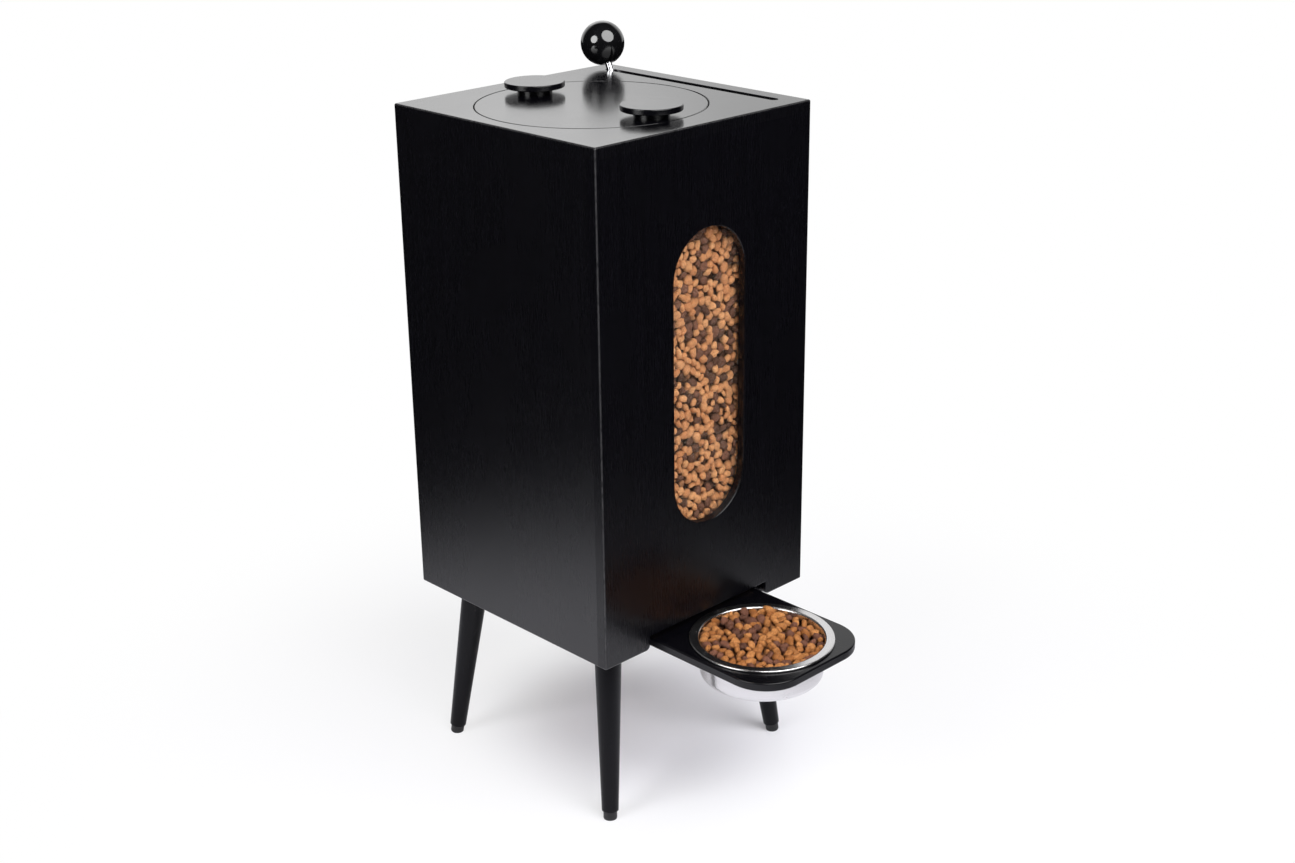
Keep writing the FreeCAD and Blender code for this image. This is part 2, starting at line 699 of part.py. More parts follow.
def funnel():
    """Four sloping boards: the side ones whole, the others bevelled to sit on them."""
    left, right = (outlet_edge("sizes.face_shift", way) for way in "-+")
    front, back = (outlet_edge("outlet_y", way) for way in "-+")
    for name, edge, wall in (("funnel_left", left, "-inner"),
                             ("funnel_right", right, "partition_left")):
        piece = body(name)
        grow(piece, outline(sketch(piece, "XZ"), slope(edge, wall)), "inner * 2", middle=True)
        put(piece, "0", "0", "deck_top")
    for name, edge, wall in (("funnel_front", front, "-inner"), ("funnel_back", back, "inner")):
        piece = body(name)
        drawing = outline(sketch(piece, "YZ", "-inner"), slope(edge, wall))
        grow(piece, drawing, "inner + partition_left")
        cut(piece, outline(sketch(piece, "XZ"), under(left, "-inner")), "inner * 3", middle=True)
        cut(piece, outline(sketch(piece, "XZ"), under(right, "partition_left")), "inner * 3",
            middle=True)
        put(piece, "0", "0", "deck_top")


def window_pane():
    """Clear pane in the front panel's rebate, and its screws."""
    piece = body("window_pane")
    ends = ("window_low", "window_high")
    fit = "(pane_radius - sizes.seat_play)"
    middle = rectangle(sketch(piece, "XZ"), f"-{fit}", ends[0], fit, ends[1])
    grow(piece, middle, "sizes.pane_depth")
    for end in ends:
        grow(piece, circle(sketch(piece, "XZ"), "0", end, fit), "sizes.pane_depth")
    screws = []
    for number, (across, up) in enumerate(pane_screw_spots(), 1):
        drawing = sketch(piece, "XZ")
        hole = "sizes.small_screw_radius + sizes.pilot_play"
        cut(piece, circle(drawing, f"{across} - sizes.face_shift", up, hole),
            "sizes.pane_depth", True)
        spot = {"across": across, "along": "-inner", "up": f"base + {up}", "roll": "-90"}
        screws.append(screw(f"pane_screw_{number}", "small_", "sizes.pane_screw_length", **spot))
    group("pane_screws", screws)
    put(piece, "sizes.face_shift", "-inner", "base")


# Base, legs and runners

def leg_spot(side, end):
    """A leg's place at its foot, and its turn: outward along the diagonal, then splayed."""
    yaw = math.degrees(math.atan2(end, side))
    return {"across": f"{side} * leg_foot", "along": f"{end} * leg_foot", "up": "0",
            "yaw": f"{yaw:g}", "pitch": "-sizes.leg_splay"}


def leg(name, side, end):
    """Tapered leg, cut level at the cabinet and square at its glide."""
    piece = body(name)
    low, high = "sizes.glide_height", "(leg_length + sizes.leg_top_radius)"
    gain = ("sizes.leg_top_radius + (sizes.leg_top_radius - sizes.leg_foot_radius)"
            " * sizes.leg_top_radius / (leg_length - sizes.glide_height)")
    profile = [("0", low), ("sizes.leg_foot_radius", low), (gain, high), ("0", high)]
    spin(piece, outline(sketch(piece, "XZ"), profile))
    reach = "(3 * sizes.leg_top_radius)"
    tilt = "tan(sizes.leg_splay)"
    above = [(f"-{reach}", f"leg_length + {reach} * {tilt}"),
             (reach, f"leg_length - {reach} * {tilt}"),
             (reach, f"leg_length + 2 * {reach}"), (f"-{reach}", f"leg_length + 2 * {reach}")]
    cut(piece, outline(sketch(piece, "XZ"), above), f"4 * {reach}", middle=True)
    hole = "sizes.leg_bolt_radius + sizes.pilot_play"
    floor = "leg_length - sizes.leg_bolt_hold - sizes.pilot_play"
    bolt = [("0", floor), (hole, floor), (hole, high), ("0", high)]
    groove(piece, outline(sketch(piece, "XZ"), bolt))
    hole = "sizes.spigot_radius + sizes.pilot_play"
    roof = "sizes.glide_height + sizes.spigot_length + sizes.pilot_play"
    spigot = [("0", low), (hole, low), (hole, roof), ("0", roof)]
    groove(piece, outline(sketch(piece, "XZ"), spigot))
    foot, wide = sizes.glide_height, sizes.leg_foot_radius
    round_off(piece, "sizes.leg_edge",
              lambda edge: level(edge, foot) and near(edge.BoundBox.XMax, wide))
    put(piece, **leg_spot(side, end))


def foot_glide(name, side, end):
    """Rounded glide with a pin up into the leg, flat where it meets the floor."""
    piece = body(name)
    below = "-sizes.glide_radius * tan(sizes.leg_splay)"
    top, tip = "sizes.glide_height", "sizes.glide_height + sizes.spigot_length"
    profile = [("0", below), ("sizes.glide_radius", below), ("sizes.glide_radius", top),
               ("sizes.spigot_radius", top), ("sizes.spigot_radius", tip), ("0", tip)]
    spin(piece, outline(sketch(piece, "XZ"), profile))
    low = piece.Tip.Shape.BoundBox.ZMin
    round_off(piece, "sizes.glide_edge", lambda edge: level(edge, low))
    reach = "(2 * sizes.glide_radius)"
    tilt = "tan(sizes.leg_splay)"
    sunk = [(f"-{reach}", f"{reach} * {tilt}"), (reach, f"-{reach} * {tilt}"),
            (reach, f"-2 * {reach}"), (f"-{reach}", f"-2 * {reach}")]
    cut(piece, outline(sketch(piece, "XZ"), sunk), f"4 * {reach}", middle=True)
    put(piece, **leg_spot(side, end))


def leg_axis(radius, low, length, name, side, end):
    """A cylinder along a leg's axis, from a distance above the floor."""
    spot = leg_spot(side, end)
    aside = f"({low}) * sin(sizes.leg_splay) / sqrt(2)"
    spot["across"] = f"{side} * (leg_foot - {aside})"
    spot["along"] = f"{end} * (leg_foot - {aside})"
    spot["up"] = f"({low}) * cos(sizes.leg_splay)"
    return cylinder(name, radius, length, **spot)


def corner_block(name, side, end):
    """Block in a lower corner, drilled for its leg's bolt and the deck's screw."""
    left = "-inner" if side < 0 else "block_right"
    wide = "inner + block_left" if side < 0 else "inner - block_right"
    front = "-inner" if end < 0 else "inner - sizes.block_depth"
    plain = block(name + "_plain", wide, "sizes.block_depth", "sizes.deck_lift",
                  across=left, along=front, up="base")
    hole = leg_axis("sizes.leg_bolt_radius + sizes.pilot_play", "leg_length - sizes.leg_top_radius",
                    "sizes.leg_top_radius + sizes.leg_bolt_rise + sizes.pilot_play",
                    name + "_bolt_hole", side, end)
    drilled = joined(name + "_drilled", "Part::Cut", plain, hole)
    across, along = deck_screw_spot(side, end)
    grip = "(sizes.deck_screw_length - sizes.deck_depth + sizes.pilot_play)"
    pilot = cylinder(name + "_pilot", "sizes.screw_radius + sizes.pilot_play", grip,
                     across=across, along=along, up=f"deck_low - {grip}")
    bored = joined(name + "_bored", "Part::Cut", drilled, pilot)
    inward = 1 if side < 0 else -1
    edge = "block_left" if side < 0 else "block_right"
    thread = "sizes.runner_screw_length - sizes.runner_sheet + sizes.small_head_depth"
    pilot = cylinder(name + "_runner_pilot", "sizes.small_screw_radius + sizes.pilot_play", thread,
                     across=edge, along=runner_screw_y(end), up="base + sizes.runner_screw_lift",
                     pitch=str(-90 * inward))
    keep(joined(name, "Part::Cut", bored, pilot), name)


def runner_screw_y(end):
    """Where a runner is screwed to its block, front or back."""
    return "-block_middle" if end < 0 else "block_middle"


def runner(name, side):
    """Angle beside and under the tray, between a front and a back corner block."""
    piece = body(name)
    out = "+" if side > 0 else "-"
    inn = "-" if side > 0 else "+"
    near_tray = "tray_right" if side > 0 else "tray_left"
    web = f"{near_tray} {out} sizes.runner_play"
    face = f"{web} {out} sizes.runner_sheet"
    tip = f"{near_tray} {inn} sizes.runner_lip"
    floor = "sizes.tray_level - sizes.tray_depth - sizes.runner_drop"
    low, high = f"{floor} - sizes.runner_sheet", "sizes.tray_level - sizes.runner_top_gap"
    section = [(tip, low), (face, low), (face, high), (web, high), (web, floor), (tip, floor)]
    grow(piece, outline(sketch(piece, "XZ"), section), "2 * (inner - sizes.runner_inset)",
         middle=True)
    for end in (-1, 1):
        along = runner_screw_y(end)
        hole = "sizes.small_screw_radius + sizes.pilot_play"
        drawing = circle(sketch(piece, "YZ", face), along, "sizes.runner_screw_lift", hole)
        cut(piece, drawing, "sizes.runner_sheet", side < 0)
        hole = "sizes.small_head_radius + sizes.pilot_play"
        drawing = circle(sketch(piece, "YZ", web), along, "sizes.runner_screw_lift", hole)
        cut(piece, drawing, "sizes.small_head_depth", side > 0)
    put(piece, "0", "0", "base")


def base():
    """Corner blocks, legs, glides, bolts, runners and the screws that hold them."""
    bolts, deck_screws, runner_screws = [], [], []
    for corner, (side, end) in CORNERS.items():
        corner_block("corner_block_" + corner, side, end)
        leg("leg_" + corner, side, end)
        foot_glide("foot_glide_" + corner, side, end)
        bolts.append(leg_axis("sizes.leg_bolt_radius", "leg_length - sizes.leg_bolt_hold",
                              "sizes.leg_bolt_hold + sizes.leg_bolt_rise",
                              "leg_bolt_" + corner, side, end))
        web = "tray_left - sizes.runner_play" if side < 0 else "tray_right + sizes.runner_play"
        inset = "+" if side > 0 else "-"
        seat = f"{web} {inset} sizes.small_head_depth"
        spot = {"across": seat, "along": runner_screw_y(end), "up": "base + sizes.runner_screw_lift",
                "pitch": "90" if side < 0 else "-90"}
        runner_screws.append(screw("runner_screw_" + corner, "small_",
                                   "sizes.runner_screw_length", **spot))
        across, along = deck_screw_spot(side, end)
        deck_screws.append(screw("deck_screw_" + corner, "", "sizes.deck_screw_length",
                                 across=across, along=along, up="deck_top"))
    runner("runner_left", -1)
    runner("runner_right", 1)
    group("leg_bolts", bolts)
    group("deck_screws", deck_screws)
    group("runner_screws", runner_screws)


# Lever


def axle_plate(name, face, reverse):
    """Plate that carries one end of the lever's axle, drilled for two screws."""
    piece = body(name)
    half_long, half_high = "sizes.plate_length / 2", "sizes.plate_height / 2"
    drawing = rectangle(sketch(piece, "YZ"), f"-{half_long}", f"-{half_high}",
                        half_long, half_high)
    grow(piece, drawing, "sizes.plate_depth", reverse=reverse)
    bore = "sizes.axle_radius + sizes.running_play"
    cut(piece, circle(sketch(piece, "YZ"), "0", "0", bore), "sizes.plate_depth", not reverse)
    for way in ("-", ""):
        hole = "sizes.screw_radius + sizes.pilot_play"
        drawing = circle(sketch(piece, "YZ"), f"{way}sizes.plate_screw_reach", "0", hole)
        cut(piece, drawing, "sizes.plate_depth", not reverse)
    put(piece, face, "0", "pivot")


def axle():
    """Axle plates, their screws, the axle and its thrust washers."""
    axle_plate("axle_plate_left", "partition_right", False)
    axle_plate("axle_plate_right", "inner", True)
    screws = []
    faces = (("partition_right + sizes.plate_depth", "90"), ("inner - sizes.plate_depth", "-90"))
    for face, pitch in faces:
        for way in ("-", ""):
            spot = {"across": face, "along": f"{way}sizes.plate_screw_reach", "up": "pivot",
                    "pitch": pitch}
            name = f"axle_plate_screw_{len(screws) + 1}"
            screws.append(screw(name, "", "sizes.plate_screw_length", **spot))
    group("axle_plate_screws", screws)
    keep(cylinder("axle_pin", "sizes.axle_radius", "sizes.channel_width",
                  across="partition_right", up="pivot", pitch="90"), "axle_pin")
    washers = []
    gap = "(sizes.channel_width - sizes.hub_width) / 2 - sizes.plate_depth"
    for number, (away, turn) in enumerate((("-", "-90"), ("+", "90")), 1):
        face = f"lever_x {away} (sizes.hub_width / 2 + ({gap} - sizes.washer_depth) / 2)"
        spot = {"across": face, "up": "pivot", "pitch": turn}
        disc = cylinder(f"washer_{number}_disc", "sizes.washer_radius", "sizes.washer_depth", **spot)
        bore = cylinder(f"washer_{number}_bore", "sizes.axle_radius + sizes.running_play",
                        "sizes.washer_depth", **spot)
        washers.append(joined(f"washer_{number}", "Part::Cut", disc, bore))
    group("thrust_washers", washers)


def on_lever(piece):
    """Place a piece that is drawn upright about the pivot."""
    return put(piece, "lever_x", "0", "pivot", roll="-lever_lean")


def lever():
    """Hub, bush, both rods, ball and the drive pin with its roller."""
    hub = body("lever_hub")
    grow(hub, circle(sketch(hub, "YZ"), "0", "0", "sizes.hub_radius"), "sizes.hub_width",
         middle=True)
    cut(hub, circle(sketch(hub, "YZ"), "0", "0", "sizes.bush_radius"), "sizes.hub_width",
        middle=True)
    seat = "(sizes.hub_radius - sizes.rod_seat)"
    for lift, reverse in ((seat, True), (f"-{seat}", False)):
        cut(hub, circle(sketch(hub, "XY", lift), "0", "0", "sizes.rod_radius"),
            "sizes.hub_radius", reverse)
    on_lever(hub)

    bush = body("hub_bush")
    grow(bush, circle(sketch(bush, "YZ"), "0", "0", "sizes.bush_radius"), "sizes.hub_width",
         middle=True)
    bore = "sizes.axle_radius + sizes.running_play"
    cut(bush, circle(sketch(bush, "YZ"), "0", "0", bore), "sizes.hub_width", middle=True)
    on_lever(bush)

    rod = body("lever_rod")
    bored = "(lever_reach - sizes.ball_flat + sizes.ball_bore)"
    grow(rod, circle(sketch(rod, "XY", seat), "0", "0", "sizes.rod_radius"), f"{bored} - {seat}")
    on_lever(rod)

    arm = body("drive_rod")
    grow(arm, circle(sketch(arm, "XY", f"-{seat}"), "0", "0", "sizes.rod_radius"),
         f"drive_arm + sizes.drive_end - {seat}", reverse=True)
    pin_hole = circle(sketch(arm, "YZ"), "0", "-drive_arm", "sizes.drive_radius")
    cut(arm, pin_hole, "4 * sizes.rod_radius", middle=True)
    on_lever(arm)

    ball_knob()
    drive_pin()


def ball_knob():
    """Ball with a flat and a blind hole for the rod."""
    ball = body("ball_knob")
    drawing = sketch(ball, "XZ")
    centre = FreeCAD.Vector(0, places.lever_reach, 0)
    ring = Part.Circle(centre, FreeCAD.Vector(0, 0, 1), sizes.ball_radius)
    drawing.addGeometry(Part.ArcOfCircle(ring, -math.pi / 2, math.pi / 2), False)
    top = FreeCAD.Vector(0, places.lever_reach + sizes.ball_radius, 0)
    foot = FreeCAD.Vector(0, places.lever_reach - sizes.ball_radius, 0)
    drawing.addGeometry(Part.LineSegment(top, foot), False)
    drawing.addConstraint(Sketcher.Constraint("Coincident", 0, 2, 1, 1))
    drawing.addConstraint(Sketcher.Constraint("Coincident", 0, 1, 1, 2))
    drawing.addConstraint(Sketcher.Constraint("PointOnObject", 1, 1, -2))
    drawing.addConstraint(Sketcher.Constraint("PointOnObject", 1, 2, -2))
    drawing.addConstraint(Sketcher.Constraint("PointOnObject", 0, 3, -2))
    held = drawing.addConstraint(Sketcher.Constraint("Radius", 0, sizes.ball_radius))
    drawing.setExpression(f"Constraints[{held}]", "sizes.ball_radius")
    reach = Sketcher.Constraint("DistanceY", -1, 1, 0, 3, places.lever_reach)
    held = drawing.addConstraint(reach)
    drawing.setExpression(f"Constraints[{held}]", named("lever_reach"))
    spin(ball, drawing)
    flat = "lever_reach - sizes.ball_flat"
    bore, low = "sizes.rod_radius", "lever_reach - 2 * sizes.ball_radius"
    roof = f"{flat} + sizes.ball_bore"
    profile = [("0", low), ("sizes.ball_radius", low), ("sizes.ball_radius", flat), (bore, flat),
               (bore, roof), ("0", roof)]
    groove(ball, outline(sketch(ball, "XZ"), profile))
    on_lever(ball)


def along_pin(name, inside, outside, left, right):
    """A disc or tube on the drive pin, between two places along it."""
    piece = body(name)
    drawing = circle(sketch(piece, "YZ", left), "0", "-drive_arm", outside)
    grow(piece, drawing, f"({right}) - ({left})")
    if inside:
        drawing = circle(sketch(piece, "YZ", left), "0", "-drive_arm", inside)
        cut(piece, drawing, f"({right}) - ({left})", True)
    on_lever(piece)
    return piece


def drive_pin():
    """Pin through the lower rod, with a spacer, a roller in the bracket's slot and a clip."""
    middle = "(flange_x - lever_x)"
    roller_left = f"{middle} - sizes.roller_width / 2"
    roller_right = f"{middle} + sizes.roller_width / 2"
    clip_left = f"{roller_left} - sizes.clip_depth"
    head = "sizes.rod_radius"
    pin = along_pin("drive_pin", None, "sizes.drive_radius", f"{clip_left} - sizes.pin_end", head)
    drawing = circle(sketch(pin, "YZ", head), "0", "-drive_arm", "sizes.pin_head_radius")
    grow(pin, drawing, "sizes.pin_head_depth")
    along_pin("drive_spacer", "sizes.drive_radius", "sizes.roller_radius", roller_right,
              "-sizes.rod_radius")
    bore = "sizes.drive_radius + sizes.running_play"
    along_pin("drive_roller", bore, "sizes.roller_radius", roller_left, roller_right)
    along_pin("roller_clip", "sizes.drive_radius", "sizes.clip_radius", clip_left, roller_left)


# Tray and bowl


def bracket_screw_spots():
    """Where the bracket's screws stand, across and along from the drive pin."""
    inner_row = "tray_right - sizes.bracket_foot + sizes.bracket_screw_inset"
    outer_row = "tray_right - sizes.bracket_screw_inset"
    reach = "sizes.bracket_screw_reach"
    return [(inner_row, "0"), (outer_row, f"-{reach}"), (outer_row, reach)]


def tray():
    """Tray with the bowl's hole and rounded front corners."""
    piece = body("tray")
    front, rear = "-sizes.bowl_inset", "tray_length - sizes.bowl_inset"
    side = "sizes.tray_width / 2"
    drawing = rectangle(sketch(piece, "XY"), f"-{side}", front, side, rear)
    grow(piece, drawing, "sizes.tray_depth", reverse=True)
    nose = -sizes.bowl_inset
    tail = nose + places.tray_length

    def corner(at):
        return lambda edge: upright(edge) and near(edge.BoundBox.YMin, at)

    round_off(piece, "sizes.tray_corner", corner(nose))
    round_off(piece, "sizes.tray_rear_corner", corner(tail))
    drawing = circle(sketch(piece, "XY"), "0", "0", "sizes.bowl_hole_radius")
    cut(piece, drawing, "sizes.tray_depth")
    for across, along in bracket_screw_spots():
        drawing = sketch(piece, "XY")
        hole = "sizes.screw_radius + sizes.pilot_play"
        circle(drawing, f"{across} - sizes.face_shift", f"drive_y + ({along}) - bowl_y", hole)
        cut(piece, drawing, "sizes.bracket_screw_length - sizes.bracket_sheet + sizes.pilot_play")
    low, half_wide = -sizes.tray_depth, sizes.tray_width / 2

    def outer(edge):
        box = edge.BoundBox
        at_side = near(box.XMin, -half_wide) or near(box.XMax, half_wide)
        at_end = near(box.YMin, nose) or near(box.YMax, tail)
        return (level(edge, 0) or level(edge, low)) and (at_side or at_end)

    round_off(piece, "sizes.tray_edge", outer)
    put(piece, "sizes.face_shift", "bowl_y", "tray_top")


def tray_bracket():
    """Angle on the tray's tail, with an upright slot for the drive pin's roller."""
    piece = body("tray_bracket")
    sheet = "sizes.bracket_sheet"
    left = "tray_right - sizes.bracket_foot"
    right = f"flange_x + {sheet} / 2"
    high = f"drive_high + slot_reach + sizes.bracket_rise - tray_top"
    section = [(left, "0"), (right, "0"), (right, high), (f"{right} - {sheet}", high),
               (f"{right} - {sheet}", sheet), (left, sheet)]
    grow(piece, outline(sketch(piece, "XZ"), section), "sizes.bracket_width", middle=True)
    lift = f"flange_x - {sheet} / 2"
    low_end, high_end = "drive_low - tray_top", "drive_high - tray_top"
    drawing = rectangle(sketch(piece, "YZ", lift), "-slot_reach", low_end, "slot_reach", high_end)
    cut(piece, drawing, sheet, True)
    for end in (low_end, high_end):
        cut(piece, circle(sketch(piece, "YZ", lift), "0", end, "slot_reach"), sheet, True)
    screws = []
    for number, (across, along) in enumerate(bracket_screw_spots(), 1):
        hole = "sizes.screw_radius + sizes.pilot_play"
        cut(piece, circle(sketch(piece, "XY"), across, along, hole), sheet, True)
        spot = {"across": across, "along": f"drive_y + ({along})", "up": f"tray_top + {sheet}"}
        screws.append(screw(f"bracket_screw_{number}", "", "sizes.bracket_screw_length", **spot))
    group("bracket_screws", screws)
    put(piece, "0", "drive_y", "tray_top")


def bowl():
    """Pressed bowl with a flat rim and a rolled edge, hanging in the tray's hole."""
    piece = body("bowl")
    sheet = "sizes.bowl_sheet"
    rim = "sizes.bowl_rim_radius - sizes.rim_roll"
    lip = f"2 * sizes.rim_roll - {sheet}"
    wall, foot, deep = "sizes.bowl_wall_radius", "sizes.bowl_base_radius", "sizes.bowl_depth"
    profile = [("0", f"-{deep}"), (foot, f"-{deep}"), (wall, lip), (rim, lip),
               (rim, f"{lip} + {sheet}"), (f"{wall} - {sheet}", f"{lip} + {sheet}"),
               (f"{foot} - {sheet}", f"{sheet} - {deep}"), ("0", f"{sheet} - {deep}")]
    spin(piece, outline(sketch(piece, "XZ"), profile))
    drawing = circle(sketch(piece, "XZ"), rim, "sizes.rim_roll", "sizes.rim_roll")
    spin(piece, drawing)
    base, step = -sizes.bowl_depth, sizes.bowl_sheet
    lower, upper = 2 * sizes.rim_roll - step, 2 * sizes.rim_roll

    def ring(height, radius):
        return lambda edge: level(edge, height) and near(edge.BoundBox.XMax, radius)

    round_off(piece, "sizes.bowl_corner", ring(base, sizes.bowl_base_radius))
    round_off(piece, "sizes.bowl_corner - sizes.bowl_sheet",
              ring(base + step, sizes.bowl_base_radius - step))
    round_off(piece, "sizes.rim_bend", ring(upper, sizes.bowl_wall_radius - step))
    round_off(piece, "sizes.rim_bend - sizes.bowl_sheet", ring(lower, sizes.bowl_wall_radius))
    put(piece, "sizes.face_shift", "bowl_y", "tray_top")


# Lid


def lid():
    """Lid disc, centring disc, gasket, two knobs and their screws."""
    disc = body("lid_disc")
    grow(disc, circle(sketch(disc, "XY"), "0", "0", "lid_radius"), "lid_depth")
    drill_lid(disc, "lid_depth")
    top, rim = places.lid_depth, places.lid_radius
    round_off(disc, "sizes.lid_edge",
              lambda edge: level(edge, top) and near(edge.BoundBox.XMax, rim))
    put(disc, "lid_x", "0", "top_low + sizes.gasket_depth")

    plug = body("lid_plug")
    grow(plug, circle(sketch(plug, "XY"), "0", "0", "plug_radius"), "sizes.plug_depth",
         reverse=True)
    drill_lid(plug, "sizes.plug_depth", down=True)
    put(plug, "lid_x", "0", "top_low + sizes.gasket_depth")

    outside = "(lid_radius - sizes.gasket_inset)"
    gasket = tube("lid_gasket", f"{outside} - sizes.gasket_width", outside, "0",
                  "sizes.gasket_depth")
    put(gasket, "lid_x", "0", "top_low")

    screws = []
    for end, way in (("front", "-"), ("back", "")):
        along = f"{way}knob_reach"
        knob(end, along)
        under_plug = "top_low + sizes.gasket_depth - sizes.plug_depth"
        length = "sizes.plug_depth + lid_depth + sizes.stem_height + sizes.knob_screw_grip"
        screws.append(screw("knob_screw_" + end, "", length, across="lid_x",
                            along=along, up=under_plug, roll="180"))
    group("knob_screws", screws)


def drill_lid(piece, depth, down=False):
    """Clearance holes for the knob screws."""
    for along in ("-knob_reach", "knob_reach"):
        hole = "sizes.screw_radius + sizes.pilot_play"
        cut(piece, circle(sketch(piece, "XY"), "0", along, hole), depth, not down)


def knob(end, along):
    """A knob: a narrow stem and a wide flat disc."""
    stem = body("knob_stem_" + end)
    grow(stem, circle(sketch(stem, "XY"), "0", "0", "sizes.stem_radius"), "sizes.stem_height")
    hole = "sizes.screw_radius + sizes.pilot_play"
    cut(stem, circle(sketch(stem, "XY"), "0", "0", hole), "sizes.stem_height", True)
    put(stem, "lid_x", along, "knob_z")
    disc = body("knob_disc_" + end)
    grow(disc, circle(sketch(disc, "XY"), "0", "0", "sizes.knob_radius"), "sizes.knob_depth")
    deep = "sizes.knob_screw_grip + sizes.pilot_play"
    cut(disc, circle(sketch(disc, "XY"), "0", "0", hole), deep, True)
    rim = sizes.knob_radius
    round_off(disc, "sizes.knob_edge",
              lambda edge: not upright(edge) and near(edge.BoundBox.XMax, rim))
    put(disc, "lid_x", along, "knob_z + sizes.stem_height")


# The whole dispenser

front_panel()
back_panel()
side_panel("left_panel", -1)
side_panel("right_panel", 1)
top_board()
lid_ledge()
partition()
outlet_deck()
outlet_liner()
funnel()
window_pane()
base()
axle()
lever()
tray()
tray_bracket()
bowl()
lid()
doc.recompute()

for item in doc.Objects:
    if "Invalid" in item.State or "Error" in item.State:
        raise RuntimeError(f"{item.Label} failed: {item.State}")
for name, piece in pieces.items():
    if piece.Shape.isNull() or not piece.Shape.isValid() or not piece.Shape.Solids:
        raise RuntimeError(f"{name} has no valid solid")

os.makedirs("parts", exist_ok=True)
for name, piece in pieces.items():
    piece.Shape.exportStep(f"parts/{name}.step")
print(f"{len(pieces)} sub-parts, {sum(len(p.Shape.Solids) for p in pieces.values())} solids")
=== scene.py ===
"""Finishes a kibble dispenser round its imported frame: black stained wood, a steel bowl,
a window pane, and the dry food that stands in the hopper and the bowl. Metres, +Z up,
the tray out along -Y."""

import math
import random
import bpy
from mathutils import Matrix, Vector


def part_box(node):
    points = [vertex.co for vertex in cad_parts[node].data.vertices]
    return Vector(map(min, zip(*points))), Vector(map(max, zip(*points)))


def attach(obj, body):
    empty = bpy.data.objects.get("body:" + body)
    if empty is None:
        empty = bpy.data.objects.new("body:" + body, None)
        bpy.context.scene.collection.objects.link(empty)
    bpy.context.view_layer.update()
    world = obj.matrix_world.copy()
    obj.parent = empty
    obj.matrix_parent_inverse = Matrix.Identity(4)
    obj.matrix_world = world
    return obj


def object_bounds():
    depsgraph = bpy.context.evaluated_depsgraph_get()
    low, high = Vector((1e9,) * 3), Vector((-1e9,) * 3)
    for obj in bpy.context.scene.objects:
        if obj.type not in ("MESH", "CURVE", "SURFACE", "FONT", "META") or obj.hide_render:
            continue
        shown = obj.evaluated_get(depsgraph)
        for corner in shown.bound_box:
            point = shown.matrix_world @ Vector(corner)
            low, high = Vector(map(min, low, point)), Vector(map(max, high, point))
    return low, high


bl_info = {
    "name": "Kibble Dispenser",
    "version": (1, 0, 0),
    "blender": (4, 5, 0),
    "location": "View3D > Sidebar > Dispenser",
    "description": "Finishes a kibble dispenser and fills it with dry food",
    "category": "Object",
}

import bmesh
import bpy
import numpy as np
from bpy.props import FloatProperty, FloatVectorProperty, IntProperty, PointerProperty
from bpy.types import Operator, Panel, PropertyGroup
from mathutils import Matrix, Quaternion, Vector, noise

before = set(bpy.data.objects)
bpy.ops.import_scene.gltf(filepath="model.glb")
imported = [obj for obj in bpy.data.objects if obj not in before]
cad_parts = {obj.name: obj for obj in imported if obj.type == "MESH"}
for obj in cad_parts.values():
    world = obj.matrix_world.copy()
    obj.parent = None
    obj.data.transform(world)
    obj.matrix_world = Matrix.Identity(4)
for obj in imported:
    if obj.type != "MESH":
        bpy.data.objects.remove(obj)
cad_box = [list(corner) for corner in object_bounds()]

MM = 0.001

# Places read from the frame

panel_low, panel_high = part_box("front_panel")
back_low, back_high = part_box("back_panel")
top_low, top_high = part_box("top_board")
pane_low, pane_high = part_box("window_pane")
bowl_low, bowl_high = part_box("bowl")
tray_low, tray_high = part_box("tray")
deck_low, deck_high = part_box("outlet_deck")
liner_low, liner_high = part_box("outlet_liner")
partition_low, partition_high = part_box("partition")
funnel_low, funnel_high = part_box("funnel_back")
ledge_low, ledge_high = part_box("lid_ledge")
left_low, left_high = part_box("left_panel")
ball_low, ball_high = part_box("ball_knob")
lid_low, lid_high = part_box("lid_disc")

cabinet_left = panel_low.x
cabinet_right = panel_high.x
cabinet_front = panel_low.y
cabinet_back = back_high.y
cabinet_foot = panel_low.z
cabinet_top = top_high.z
cabinet_middle = Vector(((cabinet_left + cabinet_right) / 2, (cabinet_front + cabinet_back) / 2, 0))
bowl_middle = Vector(((bowl_low.x + bowl_high.x) / 2, (bowl_low.y + bowl_high.y) / 2, 0))
ball_middle = (ball_low + ball_high) / 2


# What a user sets


class FoodSettings(PropertyGroup):
    lump_size: FloatProperty(
        name="Lump size", description="Middle width of a lump of dry food",
        default=9.8 * MM, unit="LENGTH")
    size_spread: FloatProperty(
        name="Size spread", description="How much the lumps differ in size",
        default=0.22, subtype="FACTOR")
    dark_share: FloatProperty(
        name="Dark share", description="Share of the lumps that are dark",
        default=0.27, min=0, max=1, subtype="FACTOR")
    tan: FloatVectorProperty(
        name="Tan", description="Colour of the pale lumps", size=3,
        default=(0.62, 0.258, 0.073), min=0, max=1, subtype="COLOR")
    dark: FloatVectorProperty(
        name="Dark", description="Colour of the dark lumps", size=3,
        default=(0.15, 0.06, 0.035), min=0, max=1, subtype="COLOR")
    heap_drop: FloatProperty(
        name="Heap drop", description="Bowl's rim to the food at the bowl's wall",
        default=2.2 * MM, unit="LENGTH")
    hopper_drop: FloatProperty(
        name="Hopper drop", description="Cabinet's top to the food in the hopper",
        default=62 * MM, unit="LENGTH")
    seed: IntProperty(name="Seed", description="Seed of the lumps' places", default=11)


